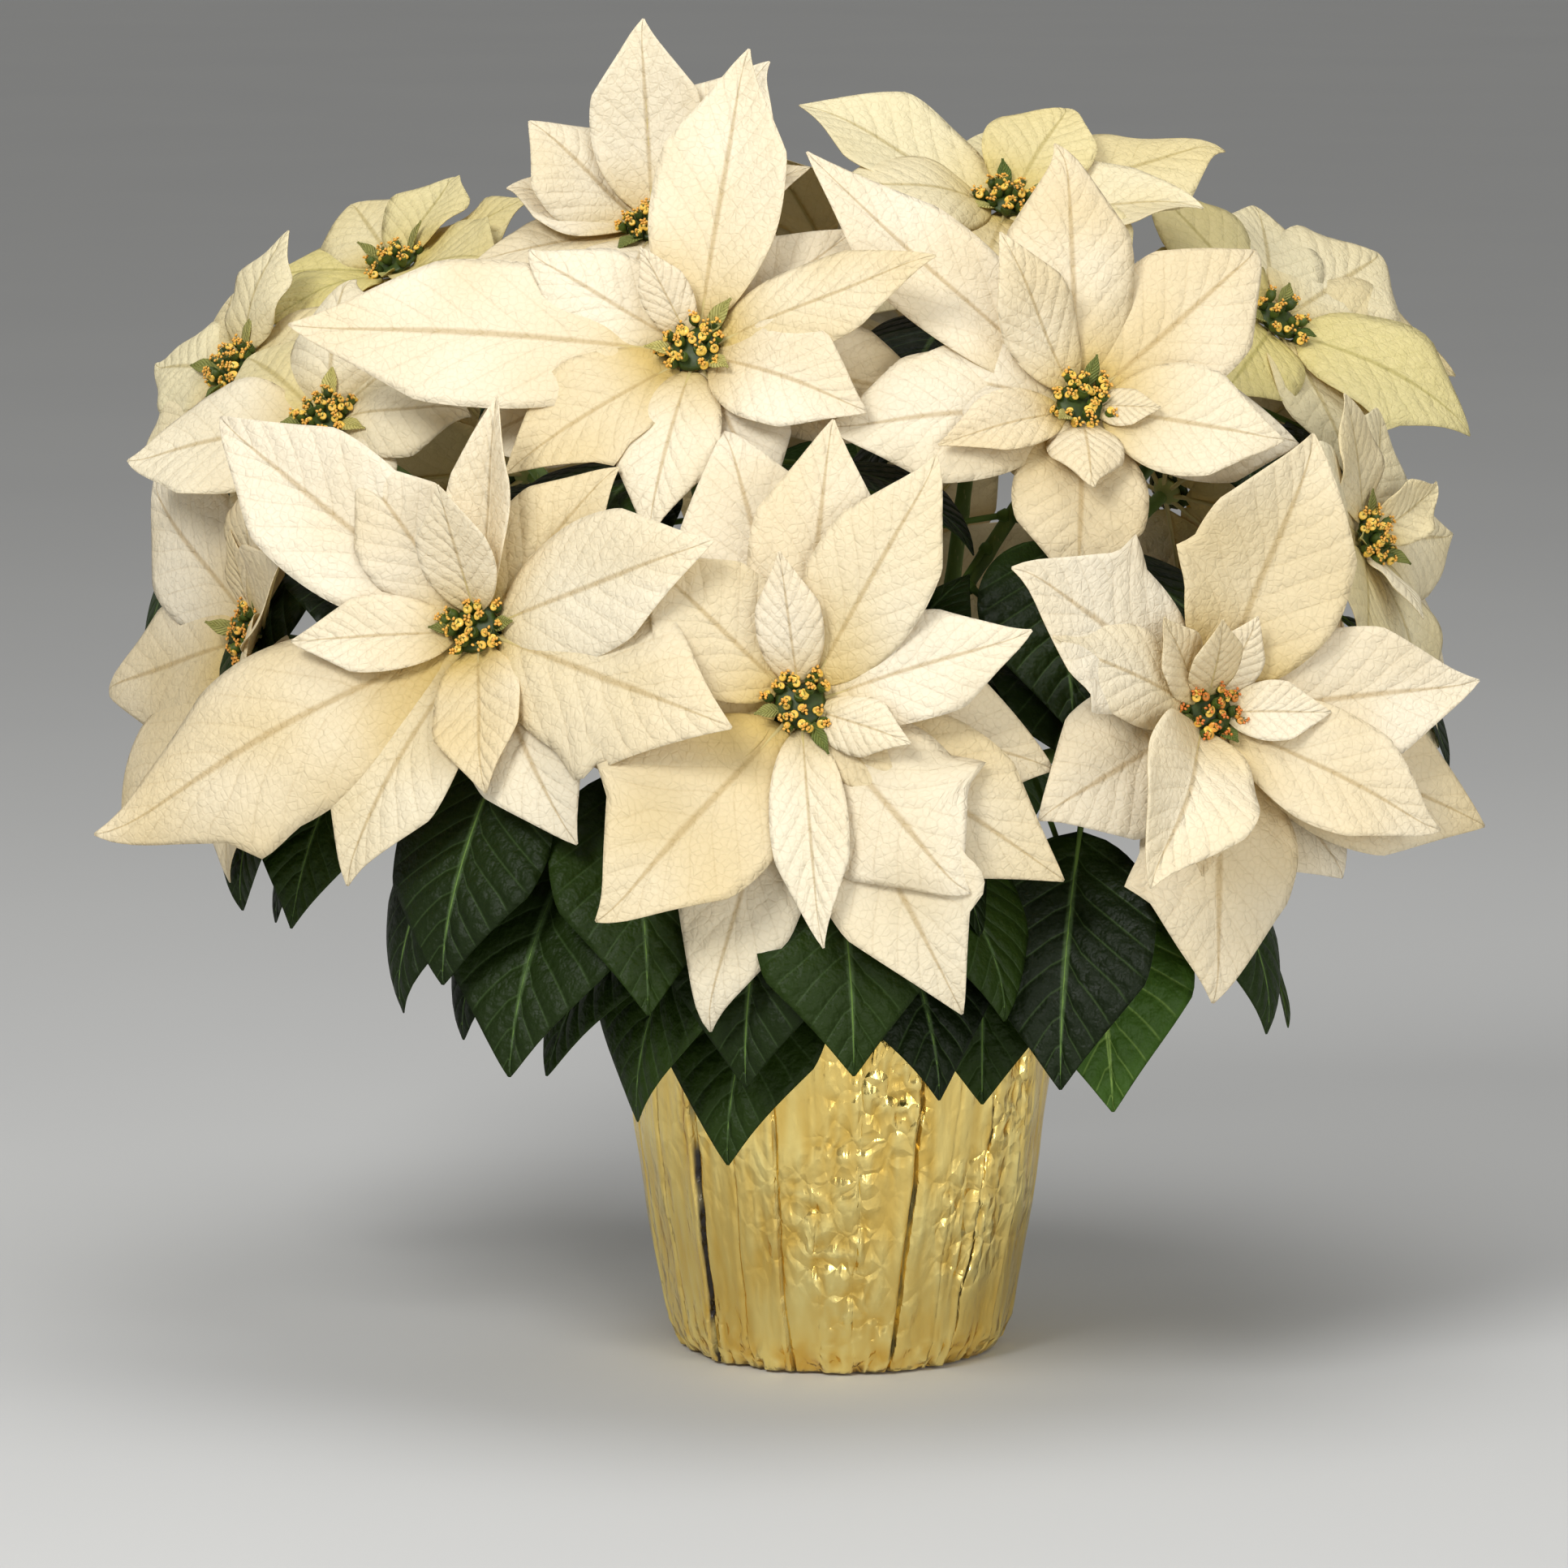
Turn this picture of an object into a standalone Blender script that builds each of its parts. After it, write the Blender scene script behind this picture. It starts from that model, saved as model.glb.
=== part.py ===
"""A cream poinsettia in its nursery pot, which stands in a gold foil cover.

Metres, +Z up. The origin is the centre of the foil cover's flat base, on which the plant stands.
Sizes in the tables are millimetres and degrees. The plant's front looks along -Y.
"""

import math
from typing import NamedTuple

import bmesh
import bpy
import numpy as np
from mathutils import Vector
from mathutils.bvhtree import BVHTree

MM = 0.001
CLEARANCE = 0.35 * MM

# The foil cover, a 165 mm nursery pot inside it, and the potting mix
COVER_BASE_RADIUS = 67 * MM
COVER_TOP_RADIUS = 87.5 * MM
COVER_HEIGHT = 149 * MM
COVER_WALL = 0.8 * MM
COVER_CORNER = 4 * MM
POT_BASE_RADIUS = 60 * MM
POT_TOP_RADIUS = 80 * MM
POT_HEIGHT = 143 * MM
POT_WALL = 1.2 * MM
POT_LIP = 2.2 * MM
POT_LIP_HEIGHT = 14 * MM
DRAIN_RADIUS = 4.5 * MM
DRAIN_CIRCLE = 40 * MM
DRAIN_COUNT = 6
DRAIN_SIDES = 8
BASE_CORNER = 3 * MM
SOIL_TOP = 132 * MM
SOIL_CROWN = 3 * MM
TURNED_STEPS = 28
KEEP_OUT = 1.5 * MM

# Woody stems stand in the mix, and green branches leave their tops
TRUNK_RADIUS = 5.5 * MM
TRUNK_FOOT = 66 * MM
TRUNK_SWELLINGS = (0.8, 1.05, 1.0, 1.0, 0.8)
FORK_CAP = 4 * MM
BRANCH_RADIUS = 3.4 * MM
BRANCH_POINTS = 7
BRANCH_SIDES = 6
TIP_RADIUS = 2.8 * MM
NECK = 34 * MM
RISE_SHARE = 0.32
NECK_SHARE = 0.12

# The tip of a branch carries a receptacle, its ring of bracts and a cluster of cyathia
RECEPTACLE_RADIUS = 6.5 * MM
RECEPTACLE_DEPTH = 5 * MM
RECEPTACLE_SIDES = 10
BRACT_FOOT = 3.5 * MM
LONG_BRACT = 60
LOWER_TIER = -2.4 * MM
UPPER_TIER = -1.2 * MM
CLUSTER_RADIUS = 11 * MM
CLUSTER_FOOT = 3.6 * MM
CLUSTER_HEIGHT = 7 * MM
CLUSTER_SIDES = 8
BUD_COUNT = 5
BUD_SIDES = 4
BUD_LENGTH = 9 * MM
BUD_FOOT_RADIUS = 2.4 * MM
BUD_RADIUS = 3 * MM
BUD_SPREAD = 0.85
BUD_LEAN = 0.35
GOLDEN_ANGLE = math.radians(137.5)

# A blade is a bract or a leaf: one thin sheet with its stalk. Bracts whose length times width is
# under the least solid area, in square millimetres, are too fine for the solids.
BLADE_THICKNESS = 0.8 * MM
BRACT_STALK = 0.06
LEAF_STALK = 0.28
STALK_HALF_WIDTH = 1.4 * MM
TIP_HALF_WIDTH = 0.5 * MM
BASE_ROUNDNESS = 0.62
TIP_TAPER = 0.72
SHOULDER = 0.62
TIP_NARROWING = 0.62
CURL_POWER = 1.3
MIDRIB_STEPS = 24
MARGIN_DROP = 0.12
SOLID_BRACT_ROWS = (0, 0.18, 0.5, 0.76, 1)
SOLID_LEAF_ROWS = (0, 0.28, 0.42, 0.7, 1)
SOLID_COLUMNS = (-1, 0, 1)
TRIAL_ROWS = (0.3, 0.42, 0.54, 0.66, 0.8, 1)
TRIAL_COLUMNS = (-1, -0.5, 0, 0.5, 1)
TRIAL_GAP = 1.2 * MM
LIFT_NUDGES = (0, 4, 8, 12, 16, 20, 25, 30, 36)
SWEEP_NUDGES = (0, 6, -6)
SLEEVE_WALL = 1.2 * MM
SLEEVE_END = 6 * MM
LEAST_SOLID_AREA = 2000
SHARP_ANGLE = math.radians(35)


class Blade(NamedTuple):
    """A bract or a leaf. The bearing of a bract is its clock angle in the flower head's plane, seen from
    outside, and that of a leaf is its compass heading, with 0 at the front and 90 at the right. Lift is its
    slope at the root, curl the droop from root to tip, fold the rise of each half from the midrib, and
    sweep and twist turn it sideways and about its own length. Station is how far down the branch from the
    flower head a leaf's root lies."""

    bearing: float
    length: float
    width: float
    lift: float = 8
    curl: float = 22
    fold: float = 10
    sweep: float = 0
    twist: float = 0
    station: float = 0


class Head(NamedTuple):
    """A flower head: its centre, the way it faces, its branch's trunk, its bracts and its leaves."""

    name: str
    centre: tuple
    azimuth: float
    elevation: float
    trunk: str
    bracts: tuple
    leaves: tuple


class Trunk(NamedTuple):
    """A rooted stem: where it stands in the mix and where its branches leave it."""

    name: str
    foot: tuple
    fork: tuple


TRUNKS = (
    Trunk("front", (0, -30), (-2, -36, 176)),
    Trunk("left", (-27, 14), (-36, 18, 180)),
    Trunk("right", (27, 16), (36, 18, 182)),
)


def rosette(lengths, width_share, first, lift, curl, fold=10):
    """Bracts that divide the circle evenly, with these lengths, from a first bearing."""
    step = 360 / len(lengths)
    return tuple(
        Blade(first + k * step, length, length * width_share, lift + (k % 2) * 5, curl, fold)
        for k, length in enumerate(lengths)
    )


def leaf_fan(headings, length, width, lift, curl, first_station, spacing, fold=8):
    """Leaves at these headings, set one below another along the branch."""
    return tuple(
        Blade(heading, length, width, lift, curl, fold, station=first_station + k * spacing)
        for k, heading in enumerate(headings)
    )


HEADS = (
    Head(
        "front_centre", (-16, -165, 280), -4, 22, "front",
        (
            Blade(5, 106, 52, 14, 18, 12),
            Blade(30, 104, 48, 18, 20, 10),
            Blade(73, 88, 42, 14, 22, 12),
            Blade(121, 116, 56, -6, 22, 8),
            Blade(139, 93, 62, 8, 26, 6),
            Blade(151, 128, 56, -2, 24, 8),
            Blade(174, 90, 34, 12, 26, 30),
            Blade(197, 126, 48, -2, 24, 10),
            Blade(220, 109, 66, 8, 20, 8),
            Blade(262, 92, 52, -4, 18, 14),
            Blade(312, 78, 50, 22, 20, 10),
            Blade(344, 116, 58, -4, 14, 10),
            Blade(352, 56, 26, 36, 20, 14),
            Blade(112, 44, 24, 24, 24, 12),
            Blade(133, 50, 22, 18, 24, 16),
            Blade(99, 98, 56, -12, 20, 10),
        ),
        (
            Blade(14, 136, 70, -38, 44, 8, station=46),
            Blade(-24, 138, 70, -34, 46, 8, station=58),
            Blade(46, 136, 66, -26, 54, 8, station=70),
            Blade(-58, 156, 76, -32, 46, 8, station=82),
            Blade(-66, 158, 78, -30, 46, 8, station=96),
            Blade(26, 142, 66, -32, 48, 8, station=108),
            Blade(-28, 150, 70, -44, 40, 8, station=120),
        ),
    ),
    Head(
        "front_left", (-138, -120, 302), -26, 24, "front",
        (
            Blade(2, 86, 38, 24, 8, 44),
            Blade(32, 78, 46, 4, 14, 20),
            Blade(72, 108, 56, 18, 16, 10),
            Blade(106, 124, 64, 10, 16, 8),
            Blade(146, 92, 50, 6, 34, 14),
            Blade(162, 66, 38, 22, 24, 12),
            Blade(201, 106, 54, 4, 22, 10),
            Blade(236, 170, 74, 8, 24, 10),
            Blade(258, 70, 32, 22, 14, 16),
            Blade(301, 140, 58, 10, 14, 12),
            Blade(317, 80, 44, 24, 10, 8),
            Blade(353, 58, 32, 44, 6, 12),
        ),
        (
            Blade(-34, 136, 70, -36, 46, 8, station=46),
            Blade(-58, 150, 62, -30, 48, 8, station=58),
            Blade(8, 148, 70, -34, 48, 8, station=74),
            Blade(-30, 166, 82, -36, 44, 8, station=94),
            Blade(-58, 154, 68, -26, 54, 8, station=110),
        ),
    ),
    Head(
        "front_right", (139, -115, 270), 26, 20, "front",
        (
            Blade(27, 112, 68, 22, 10, 10),
            Blade(304, 103, 58, 16, 8, 10),
            Blade(290, 80, 38, 24, 16, 10),
            Blade(320, 46, 24, 40, 14, 12),
            Blade(351, 40, 24, 56, 16, 12),
            Blade(30, 38, 22, 40, 16, 12),
            Blade(90, 108, 54, 14, 12, 12),
            Blade(99, 44, 24, 30, 18, 10),
            Blade(114, 124, 64, 2, 14, 10),
            Blade(126, 98, 50, 20, 24, 14),
            Blade(137, 88, 54, -2, 22, 10),
            Blade(185, 108, 66, 2, 18, 8),
            Blade(201, 70, 34, 26, 22, 12),
            Blade(219, 94, 54, 22, 34, 22),
            Blade(246, 82, 58, 4, 26, 12),
            Blade(56, 92, 54, -6, 14, 10),
        ),
        (
            Blade(62, 128, 58, -30, 42, 8, station=44),
            Blade(-10, 148, 68, -42, 42, 8, station=58),
            Blade(94, 142, 68, -24, 44, 8, station=72),
            Blade(22, 152, 76, -36, 44, 8, station=88),
            Blade(-2, 136, 64, -24, 54, 8, station=106),
            Blade(104, 126, 54, -10, 34, 8, station=60),
        ),
    ),
    Head(
        "upper_left", (-56, -75, 403), -14, 34, "front",
        (
            Blade(3, 120, 54, 12, 2, 12),
            Blade(70, 98, 38, 20, 10, 10),
            Blade(110, 74, 46, 18, 40, 12),
            Blade(150, 70, 44, 10, 34, 12),
            Blade(184, 80, 40, 12, 28, 12),
            Blade(229, 84, 46, 12, 22, 10),
            Blade(250, 96, 60, -2, 20, 10),
            Blade(269, 156, 66, 12, 16, 8),
            Blade(327, 42, 20, 40, 14, 12),
            Blade(296, 76, 42, 18, 16, 12),
            Blade(40, 80, 42, -2, 12, 12),
            Blade(92, 94, 54, -12, 16, 10),
        ),
        (
            Blade(-44, 122, 64, -26, 44, 8, station=44),
            Blade(34, 124, 64, -24, 46, 8, station=60),
            Blade(-86, 128, 64, -8, 38, 8, station=76),
            Blade(-6, 134, 66, -20, 50, 8, station=94),
            Blade(84, 124, 62, -10, 40, 8, station=112),
        ),
    ),
    Head(
        "upper_right", (91, -75, 382), 14, 34, "front",
        (
            Blade(3, 104, 52, 14, 4, 10),
            Blade(52, 103, 58, 10, 10, 10),
            Blade(107, 76, 50, 14, 18, 10),
            Blade(188, 72, 54, 4, 28, 8),
            Blade(187, 40, 30, 32, 34, 8),
            Blade(252, 62, 28, 16, 20, 26),
            Blade(284, 72, 38, 16, 16, 12),
            Blade(319, 141, 48, 8, 4, 12),
            Blade(266, 98, 58, -6, 14, 10),
            Blade(104, 28, 17, 34, 24, 10),
            Blade(332, 72, 34, 34, 10, 12),
            Blade(30, 74, 38, 2, 8, 12),
            Blade(94, 94, 50, -8, 14, 10),
        ),
        (
            Blade(8, 126, 66, -26, 44, 8, station=42),
            Blade(60, 120, 62, -12, 38, 8, station=58),
            Blade(-40, 132, 70, -16, 40, 8, station=74),
            Blade(30, 134, 66, -18, 46, 8, station=92),
            Blade(-80, 124, 62, -10, 40, 8, station=110),
        ),
    ),
    Head(
        "side_left", (-228, -30, 287), -62, 12, "left",
        (
            Blade(10, 66, 42, 18, 12, 14),
            Blade(62, 70, 42, 22, 16, 20),
            Blade(120, 80, 46, 16, 30, 12),
            Blade(178, 94, 54, 8, 20, 12),
            Blade(218, 118, 56, 8, 18, 10),
            Blade(251, 112, 56, 12, 12, 8),
            Blade(298, 106, 60, 10, 10, 8),
            Blade(96, 44, 26, 34, 20, 12),
            Blade(350, 40, 24, 36, 16, 12),
            Blade(340, 84, 48, -4, 12, 10),
        ),
        (
            Blade(-60, 112, 60, -14, 44, 8, station=38),
            Blade(-98, 112, 52, 8, 22, 8, station=50),
            Blade(-40, 122, 60, -18, 46, 8, station=66),
            Blade(-74, 124, 62, -18, 48, 8, station=84),
        ),
    ),
    Head(
        "side_right", (206, -10, 322), 62, 16, "right",
        (
            Blade(352, 56, 42, 16, 12, 10),
            Blade(40, 62, 46, 8, 14, 12),
            Blade(96, 72, 50, 10, 18, 10),
            Blade(128, 100, 60, 6, 14, 8),
            Blade(172, 84, 54, 12, 22, 12),
            Blade(232, 78, 48, 20, 20, 10),
            Blade(296, 76, 48, 14, 14, 12),
            Blade(70, 42, 24, 34, 18, 12),
            Blade(200, 40, 24, 38, 18, 12),
            Blade(268, 84, 48, -2, 16, 10),
        ),
        (
            Blade(84, 104, 54, -10, 38, 8, station=36),
            Blade(46, 122, 60, -18, 46, 8, station=50),
            Blade(108, 116, 56, -14, 40, 8, station=62),
            Blade(66, 132, 62, -20, 52, 8, station=82),
        ),
    ),
    Head(
        "curled_left", (-200, -20, 370), -34, 46, "left",
        (
            Blade(345, 66, 52, 26, 34, 8),
            Blade(28, 62, 46, 18, 24, 12),
            Blade(80, 64, 44, 26, 44, 16),
            Blade(140, 62, 44, 16, 50, 14),
            Blade(205, 66, 46, -8, 30, 10),
            Blade(250, 84, 60, 10, 22, 8),
            Blade(300, 78, 56, 18, 36, 8),
            Blade(55, 84, 50, -6, 22, 10),
        ),
        leaf_fan((-64, -14, 40), 112, 60, -10, 40, 36, 14),
    ),
    Head(
        "far_left", (-240, 56, 382), -58, 34, "left",
        (
            Blade(355, 58, 42, 18, 30, 12),
            Blade(50, 56, 40, 14, 26, 14),
            Blade(110, 54, 38, 14, 30, 12),
            Blade(165, 58, 40, 8, 26, 12),
            Blade(215, 54, 42, 10, 30, 10),
            Blade(262, 54, 44, 14, 26, 10),
            Blade(308, 56, 42, 14, 28, 10),
        ),
        (
            Blade(-84, 124, 62, -8, 42, 8, station=34),
            Blade(-120, 92, 54, 0, 40, 8, station=48),
            Blade(-96, 110, 56, -24, 44, 8, station=62),
        ),
    ),
    Head(
        "back_left", (-178, 94, 420), -50, 62, "left",
        (
            Blade(350, 50, 44, 24, 12, 16),
            Blade(38, 60, 46, 16, 14, 12),
            Blade(86, 62, 46, 14, 20, 12),
            Blade(140, 68, 48, 12, 22, 12),
            Blade(196, 66, 48, 14, 20, 12),
            Blade(246, 64, 46, 14, 14, 10),
            Blade(296, 60, 46, 16, 12, 12),
        ),
        (
            Blade(-86, 106, 62, 20, 18, 8, station=34),
            Blade(-150, 104, 60, 0, 40, 8, station=48),
        ),
    ),
    Head(
        "top_left", (-74, 34, 440), -12, 62, "left",
        (
            Blade(350, 86, 46, 42, -12, 12),
            Blade(36, 80, 62, 30, -8, 10),
            Blade(70, 64, 46, 22, 8, 10),
            Blade(112, 62, 44, 14, 20, 12),
            Blade(180, 62, 42, 14, 26, 14),
            Blade(250, 68, 46, 10, 20, 14),
            Blade(284, 60, 46, 16, 14, 12),
            Blade(302, 66, 54, 36, 4, 10),
            Blade(216, 72, 48, 2, 24, 12),
        ),
        leaf_fan((-34, 56, 110), 104, 56, -4, 36, 34, 14),
    ),
    Head(
        "top_right", (66, 30, 450), 16, 64, "right",
        (
            Blade(310, 92, 60, 14, 10, 8),
            Blade(6, 58, 48, 8, 10, 10),
            Blade(74, 98, 60, 10, 4, 8),
            Blade(104, 74, 48, 12, 14, 12),
            Blade(150, 68, 46, 14, 30, 12),
            Blade(206, 72, 52, 12, 34, 10),
            Blade(268, 72, 56, 20, 30, 10),
            Blade(36, 60, 46, 12, 12, 12),
            Blade(236, 84, 54, 2, 24, 10),
        ),
        leaf_fan((-20, 66, -80), 108, 60, -4, 38, 34, 14),
    ),
    Head(
        "back_right", (176, 88, 398), 44, 44, "right",
        (
            Blade(340, 76, 54, 10, 14, 8),
            Blade(30, 68, 52, 4, 12, 10),
            Blade(72, 88, 62, 10, 14, 8),
            Blade(104, 94, 60, 4, 22, 10),
            Blade(142, 90, 66, 12, 34, 8),
            Blade(190, 80, 54, 10, 24, 12),
            Blade(240, 72, 48, 16, 18, 12),
            Blade(294, 74, 50, 12, 14, 12),
        ),
        (
            Blade(56, 112, 62, -2, 38, 8, station=34),
            Blade(100, 100, 56, 2, 18, 8, station=48),
        ),
    ),
    Head(
        "rear_top", (4, 130, 410), 176, 56, "right",
        rosette((92, 84, 98, 86, 94, 88, 90), 0.56, 20, 14, 20),
        leaf_fan((150, -160), 112, 58, -6, 44, 38, 14),
    ),
    Head(
        "rear_left", (-128, 158, 330), -142, 26, "left",
        rosette((112, 98, 118, 104, 122, 100, 110, 96), 0.52, 4, 12, 22),
        leaf_fan((-140, -108, -172), 134, 68, -16, 54, 42, 14),
    ),
    Head(
        "rear_right", (136, 154, 322), 140, 26, "right",
        rosette((104, 118, 98, 120, 102, 114, 106, 100), 0.52, -14, 12, 22),
        leaf_fan((140, 108, 172), 134, 68, -16, 54, 42, 14),
    ),
    Head(
        "rear_centre", (6, 182, 268), 178, 18, "right",
        rosette((108, 98, 120, 104, 114, 100, 118, 102), 0.52, 8, 12, 22),
        leaf_fan((176, -148, 146, -176), 138, 70, -20, 54, 42, 14),
    ),
)


def clear_scene():
    for obj in list(bpy.data.objects):
        bpy.data.objects.remove(obj)


def collection(name, hidden=False):
    made = bpy.data.collections.new(name)
    bpy.context.scene.collection.children.link(made)
    made.hide_render = hidden
    return made


def material(name, colour, roughness, metallic=0.0):
    """A Principled BSDF with a linear base colour."""
    made = bpy.data.materials.new(name)
    made.use_nodes = True
    shader = made.node_tree.nodes["Principled BSDF"]
    shader.inputs["Base Color"].default_value = (*colour, 1)
    shader.inputs["Roughness"].default_value = roughness
    shader.inputs["Metallic"].default_value = metallic
    return made


def placed(name, mesh, where):
    obj = bpy.data.objects.new(name, mesh)
    where.objects.link(obj)
    return obj


def baked(obj):
    """Replaces an object, its modifiers and its curve by the mesh that they make, with its caps welded."""
    graph = bpy.context.evaluated_depsgraph_get()
    mesh = bpy.data.meshes.new_from_object(obj.evaluated_get(graph))
    mesh.transform(obj.matrix_world)
    name = obj.name
    where = obj.users_collection[0]
    bpy.data.objects.remove(obj)
    shape = bmesh.new()
    shape.from_mesh(mesh)
    bmesh.ops.remove_doubles(shape, verts=shape.verts, dist=2e-7)
    bmesh.ops.recalc_face_normals(shape, faces=shape.faces)
    shape.to_mesh(mesh)
    shape.free()
    made = placed("baked", mesh, where)
    made.name = name
    return made


def turned(name, profile, where, wall=0.0):
    """A solid or, with a wall, a shell turned about Z from (radius, height) points run top to bottom."""
    mesh = bpy.data.meshes.new(name)
    mesh.from_pydata([(r, 0, z) for r, z in profile], [(k, k + 1) for k in range(len(profile) - 1)], [])
    obj = placed(name, mesh, where)
    screw = obj.modifiers.new("Turn", "SCREW")
    screw.steps = TURNED_STEPS
    screw.render_steps = TURNED_STEPS
    screw.use_merge_vertices = True
    screw.merge_threshold = 1e-5
    if wall:
        shell = obj.modifiers.new("Wall", "SOLIDIFY")
        shell.thickness = wall
        shell.offset = -1
        shell.use_even_offset = True
    return obj


def tube(name, points, radii, sides_step, where):
    """A round bar along points, with its radius given at each one."""
    curve = bpy.data.curves.new(name, "CURVE")
    curve.dimensions = "3D"
    curve.bevel_depth = 1
    curve.bevel_resolution = sides_step
    curve.use_fill_caps = True
    line = curve.splines.new("POLY")
    line.points.add(len(points) - 1)
    for point, place, radius in zip(line.points, points, radii):
        point.co = (*place, 1)
        point.radius = radius
    return baked(placed(name, curve, where))


def boolean(obj, operation, cutters):
    """Joins cutters to an object or takes them away from it, and removes them."""
    spare = bpy.data.collections.new("operands")
    bpy.context.scene.collection.children.link(spare)
    for cutter in cutters:
        for holder in list(cutter.users_collection):
            holder.objects.unlink(cutter)
        spare.objects.link(cutter)
    step = obj.modifiers.new(operation, "BOOLEAN")
    step.operation = operation
    step.operand_type = "COLLECTION"
    step.collection = spare
    step.solver = "EXACT"
    made = baked(obj)
    for cutter in cutters:
        bpy.data.objects.remove(cutter)
    bpy.data.collections.remove(spare)
    return made


def keep_largest(obj):
    """Drops every loose piece but the one with the most volume, as when a cut takes off a blade's tip."""
    shape = bmesh.new()
    shape.from_mesh(obj.data)
    unseen = set(shape.faces)
    islands = []
    while unseen:
        grown, frontier = set(), [unseen.pop()]
        while frontier:
            face = frontier.pop()
            grown.add(face)
            for edge in face.edges:
                for other in edge.link_faces:
                    if other in unseen:
                        unseen.discard(other)
                        frontier.append(other)
        islands.append(grown)

    def volume(faces):
        return abs(sum(face.calc_area() * face.normal.dot(face.calc_center_median()) for face in faces))

    islands.sort(key=volume, reverse=True)
    loose = [face for island in islands[1:] for face in island]
    bmesh.ops.delete(shape, geom=loose, context="FACES")
    shape.to_mesh(obj.data)
    shape.free()


def bvh_of(obj):
    """The object's faces as a tree for overlap tests."""
    verts = [vert.co.copy() for vert in obj.data.vertices]
    return BVHTree.FromPolygons(verts, [list(face.vertices) for face in obj.data.polygons])


def axes_of(head):
    """(facing, up, right) unit vectors of a flower head, as seen from outside."""
    azimuth, elevation = math.radians(head.azimuth), math.radians(head.elevation)
    flat, rise = math.cos(elevation), math.sin(elevation)
    facing = Vector((math.sin(azimuth) * flat, -math.cos(azimuth) * flat, rise))
    up = Vector((-math.sin(azimuth) * rise, math.cos(azimuth) * rise, flat))
    return facing, up, up.cross(facing)


def outline(share, stalk):
    """Half-width as a share of the widest: a stalk, a round base and full shoulders, then a drawn-out tip."""
    along = np.clip((share - stalk) / (1 - stalk), 0, 1)
    peak = BASE_ROUNDNESS / (BASE_ROUNDNESS + TIP_TAPER)
    widest = peak**BASE_ROUNDNESS * (1 - peak) ** TIP_TAPER
    full = along**BASE_ROUNDNESS * (1 - along) ** TIP_TAPER / widest
    return full * (1 - TIP_NARROWING * np.clip((along - SHOULDER) / (1 - SHOULDER), 0, 1))


def blade_points(blade, root, outward, upward, share, across, stalk, grow=0.0):
    """Points of a blade's middle surface, at a share of its length and of its half-width. The midrib starts
    along outward at the lift, droops by the curl and turns by the sweep. Each half rises from the midrib by
    the fold, and its margin drops again."""
    outward, upward = np.array(outward), np.array(upward)
    side = np.cross(outward, upward)

    def directions(along):
        bend = np.clip((along - stalk) / (1 - stalk), 0, 1) ** CURL_POWER
        pitch = np.radians(blade.lift - blade.curl * bend)[:, None]
        turn = np.radians(blade.sweep * along)[:, None]
        heading = np.cos(turn) * outward + np.sin(turn) * side
        tangent = np.cos(pitch) * heading + np.sin(pitch) * upward
        normal = -np.sin(pitch) * heading + np.cos(pitch) * upward
        return tangent, normal, np.cos(turn) * side - np.sin(turn) * outward

    steps = np.linspace(0, 1, MIDRIB_STEPS + 1)
    tangent = directions(steps)[0]
    middle = (tangent[1:] + tangent[:-1]) / 2 / MIDRIB_STEPS
    length = blade.length * MM + grow
    midrib = np.array(root) + length * np.vstack([np.zeros(3), np.cumsum(middle, axis=0)])
    place = np.stack([np.interp(share, steps, midrib[:, axis]) for axis in range(3)], axis=1)
    _, normal, lateral = directions(share)
    twist = np.radians(blade.twist * share)[:, None]
    lateral, normal = (
        np.cos(twist) * lateral + np.sin(twist) * normal,
        np.cos(twist) * normal - np.sin(twist) * lateral,
    )
    half = np.maximum(blade.width * MM / 2 * outline(share, stalk), TIP_HALF_WIDTH)
    half = np.where(share <= stalk + 0.02, STALK_HALF_WIDTH, half) + grow
    fold = math.radians(blade.fold)
    sideways = (across * half * math.cos(fold))[:, None]
    rise = (half * (np.abs(across) * math.sin(fold) - MARGIN_DROP * across**2))[:, None]
    return place + sideways * lateral + rise * normal


def blade_solid(name, blade, root, outward, upward, stalk, rows, grow, where):
    """A grid whose vertices are carried onto the blade's surface, thickened on both sides."""
    mesh = bpy.data.meshes.new(name)
    shape = bmesh.new()
    bmesh.ops.create_grid(shape, x_segments=len(rows) - 1, y_segments=len(SOLID_COLUMNS) - 1, size=1)
    shape.verts.ensure_lookup_table()
    grid = np.array([vert.co for vert in shape.verts])
    row = np.round((grid[:, 0] + 1) / 2 * (len(rows) - 1)).astype(int)
    column = np.round((grid[:, 1] + 1) / 2 * (len(SOLID_COLUMNS) - 1)).astype(int)
    share, across = np.array(rows)[row], np.array(SOLID_COLUMNS)[column]
    points = blade_points(blade, root, outward, upward, share, across, stalk, grow)
    for vert, place in zip(shape.verts, points):
        vert.co = place
    shape.to_mesh(mesh)
    shape.free()
    obj = placed(name, mesh, where)
    sheet = obj.modifiers.new("Thickness", "SOLIDIFY")
    sheet.thickness = BLADE_THICKNESS + 2 * grow
    sheet.offset = 0
    return baked(obj)


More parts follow.
